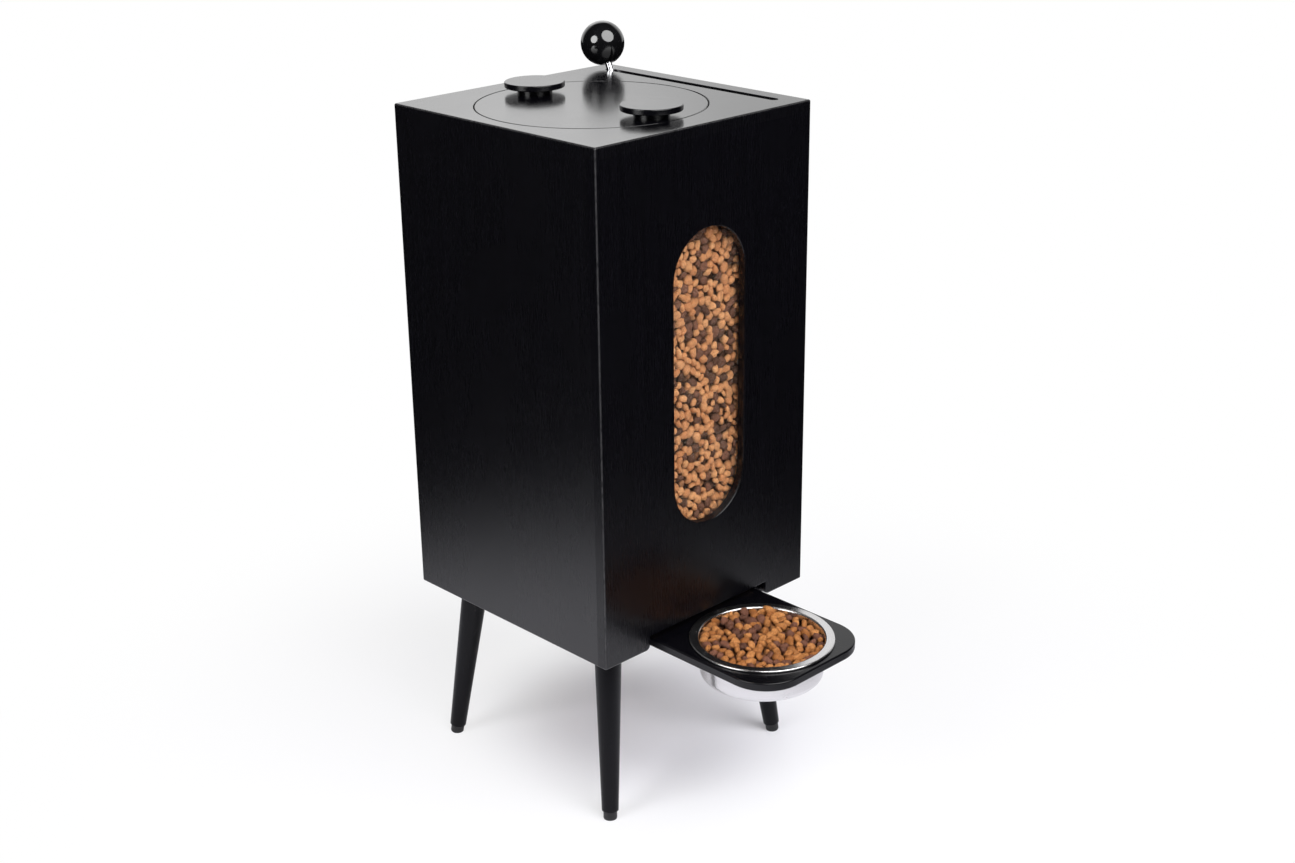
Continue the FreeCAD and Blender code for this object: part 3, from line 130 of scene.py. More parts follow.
class WoodSettings(PropertyGroup):
    stain: FloatVectorProperty(
        name="Stain", description="Colour of the stained wood", size=3,
        default=(0.0015, 0.0014, 0.0023), min=0, max=1, subtype="COLOR")
    # Edge colour: partly rubbed wear, partly a painted highlight along the rounded arris.
    worn_edge_and_highlight: FloatVectorProperty(
        name="Worn", description="Colour of the wood along its rubbed edges", size=3,
        default=(0.045, 0.044, 0.046), min=0, max=1, subtype="COLOR")
    roughness: FloatProperty(
        name="Roughness", description="Roughness of the lacquer", default=0.25, subtype="FACTOR")
    birch: FloatVectorProperty(
        name="Birch", description="Colour of the bare plywood inside", size=3,
        default=(0.60, 0.43, 0.26), min=0, max=1, subtype="COLOR")


class MetalSettings(PropertyGroup):
    steel: FloatVectorProperty(
        name="Bowl steel", description="Colour of the bowl", size=3,
        default=(0.74, 0.73, 0.73), min=0, max=1, subtype="COLOR")
    zinc: FloatVectorProperty(
        name="Zinc", description="Colour of plated screws and plates", size=3,
        default=(0.60, 0.61, 0.62), min=0, max=1, subtype="COLOR")


class StageSettings(PropertyGroup):
    floor: FloatVectorProperty(
        name="Floor", description="Colour of the floor", size=3,
        default=(0.865, 0.86, 0.92), min=0, max=1, subtype="COLOR")
    key_power: FloatProperty(
        name="Key", description="Power of the key lamp", default=300, unit="POWER")
    side_power: FloatProperty(
        name="Side", description="Power of the side lamp", default=120, unit="POWER")
    back_power: FloatProperty(
        name="Back", description="Power of the lamp behind", default=3.5, unit="POWER")


# Shader maths


class Socket:
    """A node's output, with the maths that a finish needs."""

    def __init__(self, finish, output):
        self.finish = finish
        self.output = output

    def sum(self, operation, a, b):
        return self.finish.add("Math", {"operation": operation}, {0: a, 1: b})

    def __add__(self, other):
        return self.sum("ADD", self, other)

    def __radd__(self, other):
        return self.sum("ADD", other, self)

    def __sub__(self, other):
        return self.sum("SUBTRACT", self, other)

    def __rsub__(self, other):
        return self.sum("SUBTRACT", other, self)

    def __mul__(self, other):
        return self.sum("MULTIPLY", self, other)

    def __rmul__(self, other):
        return self.sum("MULTIPLY", other, self)

    def __truediv__(self, other):
        return self.sum("DIVIDE", self, other)

    def __pow__(self, other):
        return self.sum("POWER", self, other)

    def __abs__(self):
        return self.sum("ABSOLUTE", self, 0)

    def least(self, other):
        return self.sum("MINIMUM", self, other)

    def most(self, other):
        return self.sum("MAXIMUM", self, other)


class Finish:
    """A procedural material and the nodes that make it."""

    def __init__(self, name):
        self.material = bpy.data.materials.new(name)
        self.material.use_nodes = True
        self.tree = self.material.node_tree
        self.tree.nodes.clear()
        self.place = self.add("TexCoord", output="Object")

    def add(self, kind, settings=None, values=None, output=0):
        """Add a node: its settings first, then the values or links of its sockets."""
        node = self.tree.nodes.new("ShaderNode" + kind)
        for name, value in (settings or {}).items():
            setattr(node, name, value)
        for key, value in (values or {}).items():
            if isinstance(value, Socket):
                self.tree.links.new(value.output, node.inputs[key])
            else:
                node.inputs[key].default_value = value
        return Socket(self, node.outputs[output])

    def axis(self, name, vector=None):
        """One part of a vector."""
        return self.add("SeparateXYZ", None, {0: vector or self.place}, name)

    def joined(self, x, y, z):
        """A vector from three numbers."""
        return self.add("CombineXYZ", None, {0: x, 1: y, 2: z})

    def scaled(self, x, y, z, vector=None):
        """A vector stretched along each axis."""
        values = {0: vector or self.place, 1: (x, y, z)}
        return self.add("VectorMath", {"operation": "MULTIPLY"}, values)

    def moved(self, x, y, z, vector=None):
        """A vector shifted by a fixed step."""
        values = {0: vector or self.place, 1: (x, y, z)}
        return self.add("VectorMath", {"operation": "ADD"}, values)

    def noise(self, vector, scale, detail=2.0, roughness=0.5, distortion=0.0):
        """Smooth noise from 0 to 1."""
        values = {"Vector": vector, "Scale": scale, "Detail": detail,
                  "Roughness": roughness, "Distortion": distortion}
        return self.add("TexNoise", None, values)

    def cells(self, vector, scale, feature="F1"):
        """Distance to the nearest cell's middle."""
        return self.add("TexVoronoi", {"feature": feature}, {"Vector": vector, "Scale": scale})

    def ramp(self, value, low, high, start=0.0, end=1.0):
        """Ease a value from start to end as it goes from low to high."""
        settings = {"interpolation_type": "SMOOTHSTEP"}
        values = {"Value": value, "From Min": low, "From Max": high,
                  "To Min": start, "To Max": end}
        return self.add("MapRange", settings, values)

    def blend(self, share, a, b):
        """Mix two colours."""
        settings = {"data_type": "RGBA"}
        a, b = (c if isinstance(c, Socket) else (*c, 1) for c in (a, b))
        return self.add("Mix", settings, {0: share, 6: a, 7: b}, 2)

    def bump(self, height, depth, strength=1.0, under=None):
        """A normal from a height that runs from 0 to 1 over a depth."""
        values = {"Height": height, "Distance": depth, "Strength": strength}
        if under:
            values["Normal"] = under
        return self.add("Bump", None, values)

    def attribute(self, name):
        """A number kept on the mesh."""
        return self.add("Attribute", {"attribute_name": name}, None, "Fac")

    def surface(self, **values):
        """The shader itself. Names are the sockets' own, with _ for a space."""
        sockets = {name.replace("_", " "): value for name, value in values.items()}
        for name in ("Base Color", "Emission Color", "Coat Tint"):
            if name in sockets and not isinstance(sockets[name], Socket):
                sockets[name] = (*sockets[name], 1)
        return self.finished(self.add("BsdfPrincipled", None, sockets))

    def finished(self, shader):
        self.add_output(shader)
        return self.material

    def add_output(self, shader):
        node = self.tree.nodes.new("ShaderNodeOutputMaterial")
        self.tree.links.new(shader.output, node.inputs["Surface"])


def coat(material, *names):
    """Give CAD nodes a finish."""
    for name in names:
        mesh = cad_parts[name].data
        mesh.materials.clear()
        mesh.materials.append(material)


def new_piece(name, mesh_maker, material, body):
    """A new object from a bmesh, with its finish, riding on a body."""
    shape = bmesh.new()
    mesh_maker(shape)
    for face in shape.faces:
        face.smooth = True
    mesh = bpy.data.meshes.new(name)
    shape.to_mesh(mesh)
    shape.free()
    mesh.materials.append(material)
    piece = bpy.data.objects.new(name, mesh)
    bpy.context.scene.collection.objects.link(piece)
    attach(piece, body)
    return piece


# Stained wood

GRAIN = {"X": (0.035, 1, 1), "Y": (1, 0.035, 1), "Z": (1, 1, 0.035)}
TOP_POLISH = 0.1


def cabinet_edges(finish):
    """1 along the cabinet's outer edges, fading over a few millimetres: where the edge colour of
    rubbed wear and painted highlight goes.
    """
    x = abs(finish.axis("X", finish.moved(-cabinet_middle.x, 0, 0)))
    y = abs(finish.axis("Y", finish.moved(0, -cabinet_middle.y, 0)))
    z = finish.axis("Z")
    half = (cabinet_right - cabinet_left) / 2
    start, end = 1.9 * MM, 0.6 * MM
    near_side = finish.ramp(x, half - start, half - end)
    near_face = finish.ramp(y, half - start, half - end)
    near_top = finish.ramp(z, cabinet_top - start, cabinet_top - end)
    near_foot = finish.ramp(z, cabinet_foot + start, cabinet_foot + end)
    level = near_top.most(near_foot) * near_side.most(near_face)
    return (near_side * near_face).most(level)


def stained_wood(name, along, polish=0.0, lustre=1.55, cabinet=False):
    """Black stain under satin lacquer, over fine straight grain."""
    wood = bpy.context.scene.dispenser_wood
    finish = Finish(name)
    grain = finish.scaled(*GRAIN[along])
    shine = polish
    if cabinet:
        on_top = finish.ramp(finish.axis("Z"), cabinet_top - 0.7 * MM, cabinet_top - 0.3 * MM)
        settings = {"data_type": "VECTOR"}
        across = finish.scaled(*GRAIN["X"])
        grain = finish.add("Mix", settings, {0: on_top, 4: grain, 5: across}, 1)
        shine = on_top * TOP_POLISH
    wander = finish.noise(finish.place, 9, 2)
    fibres = finish.noise(grain, 1700, 3, 0.6, 0.1)
    pores = finish.ramp(finish.noise(grain, 1150, 2, 0.5, 0.1), 0.60, 0.74)
    figure = finish.noise(grain, 170, 2, 0.5, 0.6)
    clouds = finish.noise(finish.place, 14, 3, 0.55)
    pale = tuple(1.6 * c for c in wood.stain)
    colour = finish.blend(finish.ramp(fibres * 0.6 + figure * 0.4, 0.38, 0.66), wood.stain, pale)
    if cabinet:
        # Paler arrises: rubbed wear and a painted highlight, broken up in patches.
        patches = finish.ramp(finish.noise(finish.place, 180, 3), 0.25, 0.6, 0.25, 0.8)
        colour = finish.blend(cabinet_edges(finish) * patches, colour, wood.worn_edge_and_highlight)
    rough = wood.roughness - shine + fibres * 0.04 + clouds * 0.05 + pores * 0.02 - wander * 0.04
    relief = finish.bump(fibres, 0.012 * MM, 0.5)
    relief = finish.bump(1 - pores, 0.015 * MM, 0.2, relief)
    relief = finish.bump(figure, 0.02 * MM, 0.2, relief)
    return finish.surface(Base_Color=colour, Roughness=rough, Normal=relief, IOR=lustre)


CABINET_WOOD = ("back_panel", "left_panel", "right_panel", "top_board")
LEG_WOOD = ("leg_front_left", "leg_front_right", "leg_back_left", "leg_back_right")
BLOCKS = (
    "corner_block_front_left", "corner_block_front_right", "corner_block_back_left",
    "corner_block_back_right",
)
TURNED_WOOD = ("knob_disc_front", "knob_disc_back", "knob_stem_front", "knob_stem_back")


class DISPENSER_OT_stained_wood(Operator):
    """Finish the walls, top, lid, knobs, tray, legs and the blocks that hold them"""
    bl_idname = "dispenser.stained_wood"
    bl_label = "Stained wood"

    def execute(self, context):
        coat(stained_wood("stained_cabinet", "Z", cabinet=True), *CABINET_WOOD)
        coat(stained_wood("stained_front", "Z", 0, 1.42, cabinet=True), "front_panel")
        coat(stained_wood("stained_lid", "X", TOP_POLISH), "lid_disc")
        coat(stained_wood("stained_knobs", "X", 0.06), *TURNED_WOOD)
        coat(stained_wood("stained_tray", "Y", 0.02, 1.4), "tray")
        coat(stained_wood("stained_legs", "Z", 0.02, 1.27), *LEG_WOOD, *BLOCKS)
        return {"FINISHED"}


# Bare plywood

PLYWOOD = (
    "lid_ledge", "partition", "outlet_deck", "funnel_left", "funnel_right", "funnel_front",
    "funnel_back", "lid_plug",
)


def plywood():
    """Birch plywood: pale, with fine pores and a soft figure."""
    wood = bpy.context.scene.dispenser_wood
    finish = Finish("birch_plywood")
    grain = finish.scaled(*GRAIN["Y"])
    figure = finish.noise(grain, 160, 3, 0.55, 1.2)
    fibres = finish.noise(grain, 1300, 2, 0.6)
    flecks = finish.ramp(finish.noise(grain, 700, 2), 0.62, 0.7)
    dark = tuple(0.7 * c for c in wood.birch)
    colour = finish.blend(finish.ramp(figure * 0.7 + fibres * 0.3, 0.35, 0.68), wood.birch, dark)
    colour = finish.blend(flecks * 0.5, colour, tuple(0.35 * c for c in wood.birch))
    relief = finish.bump(fibres, 0.04 * MM, 0.5)
    return finish.surface(Base_Color=colour, Roughness=0.55 + fibres * 0.2, Normal=relief)


class DISPENSER_OT_plywood(Operator):
    """Finish the hopper's boards"""
    bl_idname = "dispenser.plywood"
    bl_label = "Bare plywood"

    def execute(self, context):
        coat(plywood(), *PLYWOOD)
        return {"FINISHED"}


# Metal


def bowl_steel():
    """Polished steel with fine rings from its turning."""
    metal = bpy.context.scene.dispenser_metal
    finish = Finish("bowl_steel")
    place = finish.moved(-bowl_middle.x, -bowl_middle.y, 0)
    x, y, z = (finish.axis(name, place) for name in "XYZ")
    radius = (x * x + y * y) ** 0.5
    rings = finish.noise(finish.joined(radius, z, 0), 2600, 3, 0.65)
    bands = finish.noise(finish.joined(radius, z, 0), 260, 2, 0.5)
    smudges = finish.noise(finish.place, 60, 3, 0.6)
    rough = 0.13 + rings * 0.10 + bands * 0.05 + finish.ramp(smudges, 0.5, 0.75) * 0.08
    dull = tuple(0.86 * c for c in metal.steel)
    colour = finish.blend(bands, metal.steel, dull)
    relief = finish.bump(rings, 0.012 * MM, 0.6)
    return finish.surface(Base_Color=colour, Metallic=1.0, Roughness=rough, Normal=relief)


def chrome():
    """Bright chrome with a few finger marks."""
    finish = Finish("bright_chrome")
    marks = finish.ramp(finish.noise(finish.place, 120, 3, 0.6), 0.5, 0.8)
    return finish.surface(Base_Color=(0.82, 0.82, 0.84), Metallic=1.0,
                          Roughness=0.05 + marks * 0.12)


def zinc():
    """Zinc plating: pale, finely mottled."""
    metal = bpy.context.scene.dispenser_metal
    finish = Finish("zinc_steel")
    spangle = finish.noise(finish.place, 500, 3, 0.6)
    dark = tuple(0.72 * c for c in metal.zinc)
    colour = finish.blend(finish.ramp(spangle, 0.35, 0.65), metal.zinc, dark)
    relief = finish.bump(finish.noise(finish.place, 1600, 2), 0.02 * MM, 0.4)
    return finish.surface(Base_Color=colour, Metallic=1.0, Roughness=0.28 + spangle * 0.18,
                          Normal=relief)


def drawn_aluminium():
    """Aluminium with the draw lines of its section along it."""
    finish = Finish("runner_aluminium")
    lines = finish.noise(finish.scaled(1, 0.01, 1), 2400, 2, 0.5)
    relief = finish.bump(lines, 0.02 * MM, 0.5)
    colour = finish.blend(lines, (0.62, 0.62, 0.64), (0.74, 0.74, 0.75))
    return finish.surface(Base_Color=colour, Metallic=1.0, Roughness=0.3 + lines * 0.15,
                          Normal=relief)


def bronze():
    """Sintered bronze, speckled with its pores."""
    finish = Finish("bronze_bush")
    grains = finish.noise(finish.place, 2200, 2, 0.6)
    colour = finish.blend(finish.ramp(grains, 0.4, 0.6), (0.42, 0.26, 0.11), (0.62, 0.41, 0.19))
    relief = finish.bump(grains, 0.03 * MM, 0.6)
    return finish.surface(Base_Color=colour, Metallic=1.0, Roughness=0.35 + grains * 0.2,
                          Normal=relief)


ZINC = (
    "leg_bolts", "deck_screws", "runner_screws", "pane_screws", "axle_plate_screws",
    "bracket_screws", "knob_screws", "axle_plate_left", "axle_plate_right", "axle_pin",
    "lever_hub", "drive_rod", "drive_pin", "roller_clip", "tray_bracket",
)


class DISPENSER_OT_metal(Operator):
    """Finish the bowl, rods, plates, runners and screws"""
    bl_idname = "dispenser.metal"
    bl_label = "Metal"

    def execute(self, context):
        coat(bowl_steel(), "bowl")
        coat(chrome(), "lever_rod")
        coat(zinc(), *ZINC)
        coat(drawn_aluminium(), "runner_left", "runner_right")
        coat(bronze(), "hub_bush")
        return {"FINISHED"}


# Plastic, rubber and the pane


def moulded(name, colour, rough, grain_depth):
    """Moulded plastic with a fine cast texture."""
    finish = Finish(name)
    texture = finish.noise(finish.place, 1500, 2, 0.6)
    haze = finish.noise(finish.place, 90, 2)
    pale = tuple(1.25 * c for c in colour)
    relief = finish.bump(texture, grain_depth, 0.5)
    return finish.surface(Base_Color=finish.blend(haze, colour, pale),
                          Roughness=rough + texture * 0.1 + haze * 0.06, Normal=relief)


def gloss_ball():
    """Polished black resin, with hairline polishing marks."""
    finish = Finish("gloss_ball")
    hairs = finish.noise(finish.place, 900, 3, 0.7, 1.5)
    haze = finish.ramp(finish.noise(finish.place, 45, 3), 0.45, 0.75)
    colour = finish.blend(haze, (0.004, 0.004, 0.0045), (0.007, 0.007, 0.008))
    return finish.surface(Base_Color=colour, Roughness=0.045 + hairs * 0.03 + haze * 0.04,
                          IOR=1.85, Normal=finish.bump(hairs, 0.004 * MM, 0.3))


def clear_pane():
    """Clear acrylic with the food's fines on it, under a faint mirror."""
    finish = Finish("clear_pane")
    wear = finish.ramp(finish.noise(finish.place, 70, 4, 0.6), 0.5, 0.8)
    mirror = finish.add("BsdfGlossy", None, {"Color": (1, 1, 1, 1), "Roughness": 0.02 + wear * 0.05})
    clear = finish.add("BsdfTransparent", None, {"Color": (0.97, 0.985, 0.98, 1)})
    inner = finish.add("NewGeometry", output="Backfacing")
    share = finish.add("Fresnel", None, {"IOR": 1.49}) * (1 - inner)
    fines = finish.add("BsdfDiffuse", None, {"Color": (0.82, 0.66, 0.52, 1)})
    dusty = 0.006 + finish.ramp(finish.noise(finish.place, 38, 3, 0.6), 0.4, 0.75) * 0.012
    pane = finish.add("MixShader", None, {0: dusty, 1: clear, 2: fines})
    return finish.finished(finish.add("MixShader", None, {0: share, 1: pane, 2: mirror}))


BLACK_PLASTIC = (
    "foot_glide_front_left", "foot_glide_front_right", "foot_glide_back_left",
    "foot_glide_back_right", "outlet_liner",
)


class DISPENSER_OT_plastic(Operator):
    """Finish the ball, glides, liner, roller, washers, gasket and pane"""
    bl_idname = "dispenser.plastic"
    bl_label = "Plastic, rubber and pane"

    def execute(self, context):
        coat(gloss_ball(), "ball_knob")
        coat(moulded("black_plastic", (0.005, 0.005, 0.0055), 0.34, 0.03 * MM), *BLACK_PLASTIC)
        coat(moulded("white_plastic", (0.72, 0.72, 0.69), 0.35, 0.02 * MM),
             "thrust_washers", "drive_roller", "drive_spacer")
        coat(moulded("seal_rubber", (0.02, 0.02, 0.021), 0.75, 0.05 * MM), "lid_gasket")
        coat(clear_pane(), "window_pane")
        return {"FINISHED"}


# Dry food


def food_finish(name, painted_light_tint=(1, 1, 1), painted_lift=0.0):
    """Baked food: mottled, pitted, each lump a little different from the next. Lumps darken with
    their depth below the food's surface as painted shade, and a tint can brighten a copy of the food
    as painted light.
    """
    food = bpy.context.scene.dispenser_food
    finish = Finish(name)
    tone, dark, buried = (finish.attribute(key) for key in ("tone", "dark", "buried"))
    mottle = finish.noise(finish.place, 360, 4, 0.7)
    crumbs = finish.noise(finish.place, 900, 3, 0.7)
    pits = finish.ramp(finish.cells(finish.place, 560), 0.12, 0.42)
    # A tint above 1 makes these colours a painted-light copy, as for the food behind the pane.
    toasted = tuple(c * f * t for c, f, t in zip(food.tan, (0.60, 0.50, 0.42), painted_light_tint))
    golden = tuple(min(0.95, c * f * t) for c, f, t in zip(food.tan, (1.2, 1.24, 1.4), painted_light_tint))
    # Lifting toasted lumps towards golden is also painted light, for the food behind the pane.
    toasted = tuple(a + (b - a) * painted_lift for a, b in zip(toasted, golden))
    tan = finish.blend(tone, toasted, golden)
    tan = finish.blend(finish.ramp(mottle, 0.45, 0.68) * 0.75, tan, toasted)
    brown = finish.blend(tone, tuple(0.7 * c for c in food.dark), tuple(1.7 * c for c in food.dark))
    colour = finish.blend(dark, tan, brown)
    # Colour of burnt crumbs, and of the painted shade that deepens with a lump's depth.
    burnt_and_shade = tuple(0.5 * c for c in food.dark)
    colour = finish.blend(finish.ramp(crumbs, 0.55, 0.70) * 0.55, colour, burnt_and_shade)
    # Painted shade: lumps darken with their depth below the food's surface, as if shaded by the
    # lumps over them.
    colour = finish.blend(finish.ramp(buried, 0.3, 1.05) * 0.8, colour, burnt_and_shade)
    relief = finish.bump(mottle, 2.6 * MM, 0.8)
    relief = finish.bump(pits, 0.8 * MM, 0.7, relief)
    relief = finish.bump(crumbs, 1.0 * MM, 1.0, relief)
    return finish.surface(Base_Color=colour, Roughness=0.38 + mottle * 0.25, Normal=relief, IOR=1.38)


def shape_lump(mesh, place, width, turn, dice, dark, hold, buried):
    """One lump: a ball squared off, flattened, lobed or bent, dimpled and roughened."""
    lump = bmesh.new()
    keys = "tone", "dark", "buried"
    tones, darks, depths = (lump.verts.layers.float.new(key) for key in keys)
    bmesh.ops.create_icosphere(lump, subdivisions=2, radius=1)
    long, flat = dice.uniform(0.98, 1.5), dice.uniform(0.58, 0.9)
    square = dice.uniform(0.78, 1.0)
    lobes, bend = dice.choice(((0, 0), (0, 0), (3, 0), (4, 0), (0, 0.28)))
    dimple = dice.choice((0, 0, 0.2, 0.34))
    offset = Vector((dice.uniform(-50, 50), dice.uniform(-50, 50), dice.uniform(-50, 50)))
    tone = dice.random()
    for vert in lump.verts:
        way = vert.co.copy()
        boxy = Vector(math.copysign(abs(c) ** square, c) for c in way)
        around = math.hypot(way.x, way.y)
        swell = 1 + 0.26 * noise.noise(way * 1.2 + offset) + 0.1 * noise.noise(way * 2.6 + offset)
        if lobes:
            swell *= 1 + 0.14 * around * math.cos(lobes * math.atan2(way.y, way.x))
        hollow = 1 - dimple * math.exp(-(around / 0.5) ** 2)
        bent = boxy.y + bend * (boxy.x ** 2 - 0.4)
        formed = Vector((boxy.x * long, bent, boxy.z * flat * hollow))
        vert.co = hold(place + turn @ (formed * swell * width / 2))
        vert[tones] = tone
        vert[darks] = 1.0 if dark else 0.0
        # Depth below the food's surface, which drives the painted shade.
        vert[depths] = buried(vert.co) / BURIED_DEPTH
    lump.to_mesh(mesh)
    lump.free()


def settle(points, widths, low, high, pull, rounds, inward=None):
    """Push overlapping lumps apart in a box, with a steady pull one way."""
    along = int(np.argmax(high - low))
    rim = (widths / 2)[:, None]
    for _ in range(rounds):
        order = np.argsort(points[:, along])
        points, widths, rim = points[order] + pull, widths[order], rim[order]
        push = np.zeros_like(points)
        for step in range(1, len(points)):
            gaps = points[step:] - points[:-step]
            if gaps[:, along].min() > widths.max():
                break
            apart = np.sqrt((gaps ** 2).sum(1)) + 1e-9
            overlap = np.clip((widths[step:] + widths[:-step]) / 2 - apart, 0, None)
            shove = gaps * (overlap / apart / 2)[:, None]
            push[step:] += shove
            push[:-step] -= shove
        points += push * 0.55
        if inward:
            points = inward(points, widths)
        np.clip(points, low + rim, high - rim, out=points)
    return points, widths


def scatter(food, dice, low, high, closeness):
    """Places and widths of lumps that fill a box."""
    room = np.prod(high - low)
    count = int(closeness * room / (math.pi / 6 * food.lump_size ** 3))
    spread = food.size_spread
    widths = np.array([food.lump_size * (1 + spread * dice.uniform(-1, 1)) for _ in range(count)])
    points = np.array([[dice.uniform(a, b) for a, b in zip(low, high)] for _ in range(count)])
    return points, widths


def pour(name, material, body, places, widths, dice, hold, buried, facing=None):
    """A piece of many lumps, pressed flat where they meet what holds them."""
    food = bpy.context.scene.dispenser_food

    def fill(shape):
        one = bpy.data.meshes.new("lump")
        for place, width in zip(places, widths):
            turn = Quaternion([dice.gauss(0, 1) for _ in range(4)]).normalized()
            if facing and dice.random() < 0.55:
                spin = Quaternion((0, 0, 1), dice.uniform(0, 2 * math.pi))
                lean = Quaternion((dice.gauss(0, 1), dice.gauss(0, 1), 0), dice.uniform(0, 0.6))
                turn = facing @ lean @ spin
            dark = dice.random() < food.dark_share
            width *= LUMP_FILL
            shape_lump(one, Vector(place), width, turn, dice, dark, hold, buried)
            shape.from_mesh(one, face_normals=False, vertex_normals=False)
        bpy.data.meshes.remove(one)
        shape.normal_update()

    return new_piece(name, fill, material, body)


LUMP_FILL = 0.95
# Depth below the food's surface over which the painted shade deepens.
BURIED_DEPTH = 7 * MM
WINDOW_FOOD_DEPTH = 26 * MM
# Painted light on the food behind the pane: its colours are scaled paler and bluer, and toasted
# lumps are lifted towards golden. This stands in for brighter light on the front and the pane's
# reflected haze.
WINDOW_PAINTED_LIGHT = (1.55, 1.4, 1.9)
WINDOW_PAINTED_LIFT = 0.35
PANE_MARGIN = 8 * MM
CORE_GAP = 1 * MM


class DISPENSER_OT_window_food(Operator):
    """Pack lumps of food close behind the pane"""
    bl_idname = "dispenser.window_food"
    bl_label = "Food at the window"

    def execute(self, context):
        food = context.scene.dispenser_food
        dice = random.Random(food.seed)
        behind = pane_high.y + 0.5 * MM
        low = np.array((pane_low.x - PANE_MARGIN, behind, pane_low.z - PANE_MARGIN))
        high = np.array((pane_high.x + PANE_MARGIN, behind + WINDOW_FOOD_DEPTH,
                         pane_high.z + PANE_MARGIN))
        points, widths = scatter(food, dice, low, high, 0.56)
        pull = np.array((0, -0.12 * MM, 0))
        points, widths = settle(points, widths, low, high, pull, 60)

        def hold(place):
            place.y = max(place.y, behind)
            return place

        def buried(place):
            return place.y - behind

        facing = Quaternion((1, 0, 0), math.pi / 2)
        # The food behind the pane gets a paler, bluer, more even copy of the food's colours: painted
        # light and a painted haze of reflection.
        material = food_finish("food_at_window", WINDOW_PAINTED_LIGHT, WINDOW_PAINTED_LIFT)
        pour("food_at_window", material, "cabinet", points, widths, dice, hold, buried, facing)
        return {"FINISHED"}


def slope(z, foot, foot_z, head, head_z):
    """Where a sloping board stands at a height, held to its ends."""
    share = min(1, max(0, (z - foot_z) / (head_z - foot_z)))
    return foot + share * (head - foot)


def funnel_at(z):
    """Left, right, front and back of the food in the funnel at a height."""
    boards = [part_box("funnel_" + side) for side in ("left", "right", "front", "back")]
    left, right, front, back = boards
    foot = deck_high.z
    return (
        slope(z, left[1].x, foot, left[0].x, left[1].z) + CORE_GAP,
        slope(z, right[0].x, foot, right[1].x, right[1].z) - CORE_GAP,
        max(slope(z, front[1].y, foot, front[0].y, front[1].z) + CORE_GAP,
            pane_high.y + WINDOW_FOOD_DEPTH),
        slope(z, back[0].y, foot, back[1].y, back[1].z) - CORE_GAP,
    )


class DISPENSER_OT_food_mass(Operator):
    """Fill the hopper and its funnel behind the lumps"""
    bl_idname = "dispenser.food_mass"
    bl_label = "Food in the hopper"

    def execute(self, context):
        food = context.scene.dispenser_food
        boards = [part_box("funnel_" + side)[1].z for side in ("left", "right", "front", "back")]
        top = cabinet_top - food.hopper_drop - 1.2 * food.lump_size
        levels = [deck_low.z, deck_high.z, *sorted(boards), top]

        def stack(shape):
            bmesh.ops.create_grid(shape, x_segments=1, y_segments=1, size=1)
            bmesh.ops.reverse_faces(shape, faces=shape.faces)
            face = shape.faces[:][0]
            for level, z in enumerate(levels):
                if level:
                    made = bmesh.ops.extrude_face_region(shape, geom=[face])["geom"]
                    face = next(item for item in made if isinstance(item, bmesh.types.BMFace))
                left, right, front, back = funnel_at(z)
                for vert in face.verts:
                    vert.co.x = left if vert.co.x < (left + right) / 2 else right
                    vert.co.y = front if vert.co.y < (front + back) / 2 else back
                    vert.co.z = z
            bmesh.ops.recalc_face_normals(shape, faces=shape.faces)

        mass = new_piece("food_mass", stack, food_finish("food_mass"), "cabinet")
        for polygon in mass.data.polygons:
            polygon.use_smooth = False
        return {"FINISHED"}


class DISPENSER_OT_hopper_food(Operator):
    """Lay lumps over the top of the food in the hopper"""
    bl_idname = "dispenser.hopper_food"
    bl_label = "Top of the food"

    def execute(self, context):
        food = context.scene.dispenser_food
        dice = random.Random(food.seed + 1)
        level = cabinet_top - food.hopper_drop
        low = np.array((left_high.x, panel_high.y, level - 1.5 * food.lump_size))
        high = np.array((partition_low.x, back_low.y, level))
        points, widths = scatter(food, dice, low, high, 0.62)
        points, widths = settle(points, widths, low, high, np.array((0, 0, -0.1 * MM)), 40)

        def hold(place):
            place.x = min(max(place.x, low[0] + CORE_GAP), high[0] - CORE_GAP)
            place.y = min(max(place.y, low[1] + CORE_GAP), high[1] - CORE_GAP)
            return place

        def buried(place):
            return level - place.z

        material = food_finish("food_in_hopper")
        pour("food_in_hopper", material, "cabinet", points, widths, dice, hold, buried)
        return {"FINISHED"}


BOWL_SHEET = 0.8 * MM
BOWL_FOOT_RADIUS = 65.5 * MM
BOWL_WALL_RADIUS = 67.5 * MM
BOWL_DEPTH = 42 * MM
BOWL_TILT = Vector((-0.045, 0.055))
BOWL_CROWN = 1.5 * MM
HEAP_BRIM = 1.2 * MM
PROUD_BRIM = 4.4 * MM
PROUD_PLACE = Vector((51 * MM, 36 * MM))
PROUD_WIDTH = 10.5 * MM
LINER_REACH = (liner_high.x - liner_low.x) / 2 + 1 * MM


def bowl_radius(z):
    """Inside of the bowl's wall at a height, less a small gap."""
    lean = (BOWL_WALL_RADIUS - BOWL_FOOT_RADIUS) / BOWL_DEPTH
    return BOWL_FOOT_RADIUS + lean * (z - bowl_low.z) - BOWL_SHEET - 0.3 * MM


def heap_height(x, y):
    """Top of the heap over a spot by the bowl's middle: it leans up towards the cabinet."""
    level = bowl_high.z - bpy.context.scene.dispenser_food.heap_drop
    away = np.hypot(x, y) / bowl_radius(level)
    return level + BOWL_CROWN * (1 - away ** 2) + BOWL_TILT.x * x + BOWL_TILT.y * y


def brim_at(flat):
    """Highest that food may stand over a spot by the bowl's middle, with the tray pushed in."""
    clear = max(abs(flat.x), abs(flat.y)) > LINER_REACH
    return bowl_high.z + (PROUD_BRIM if clear else HEAP_BRIM)


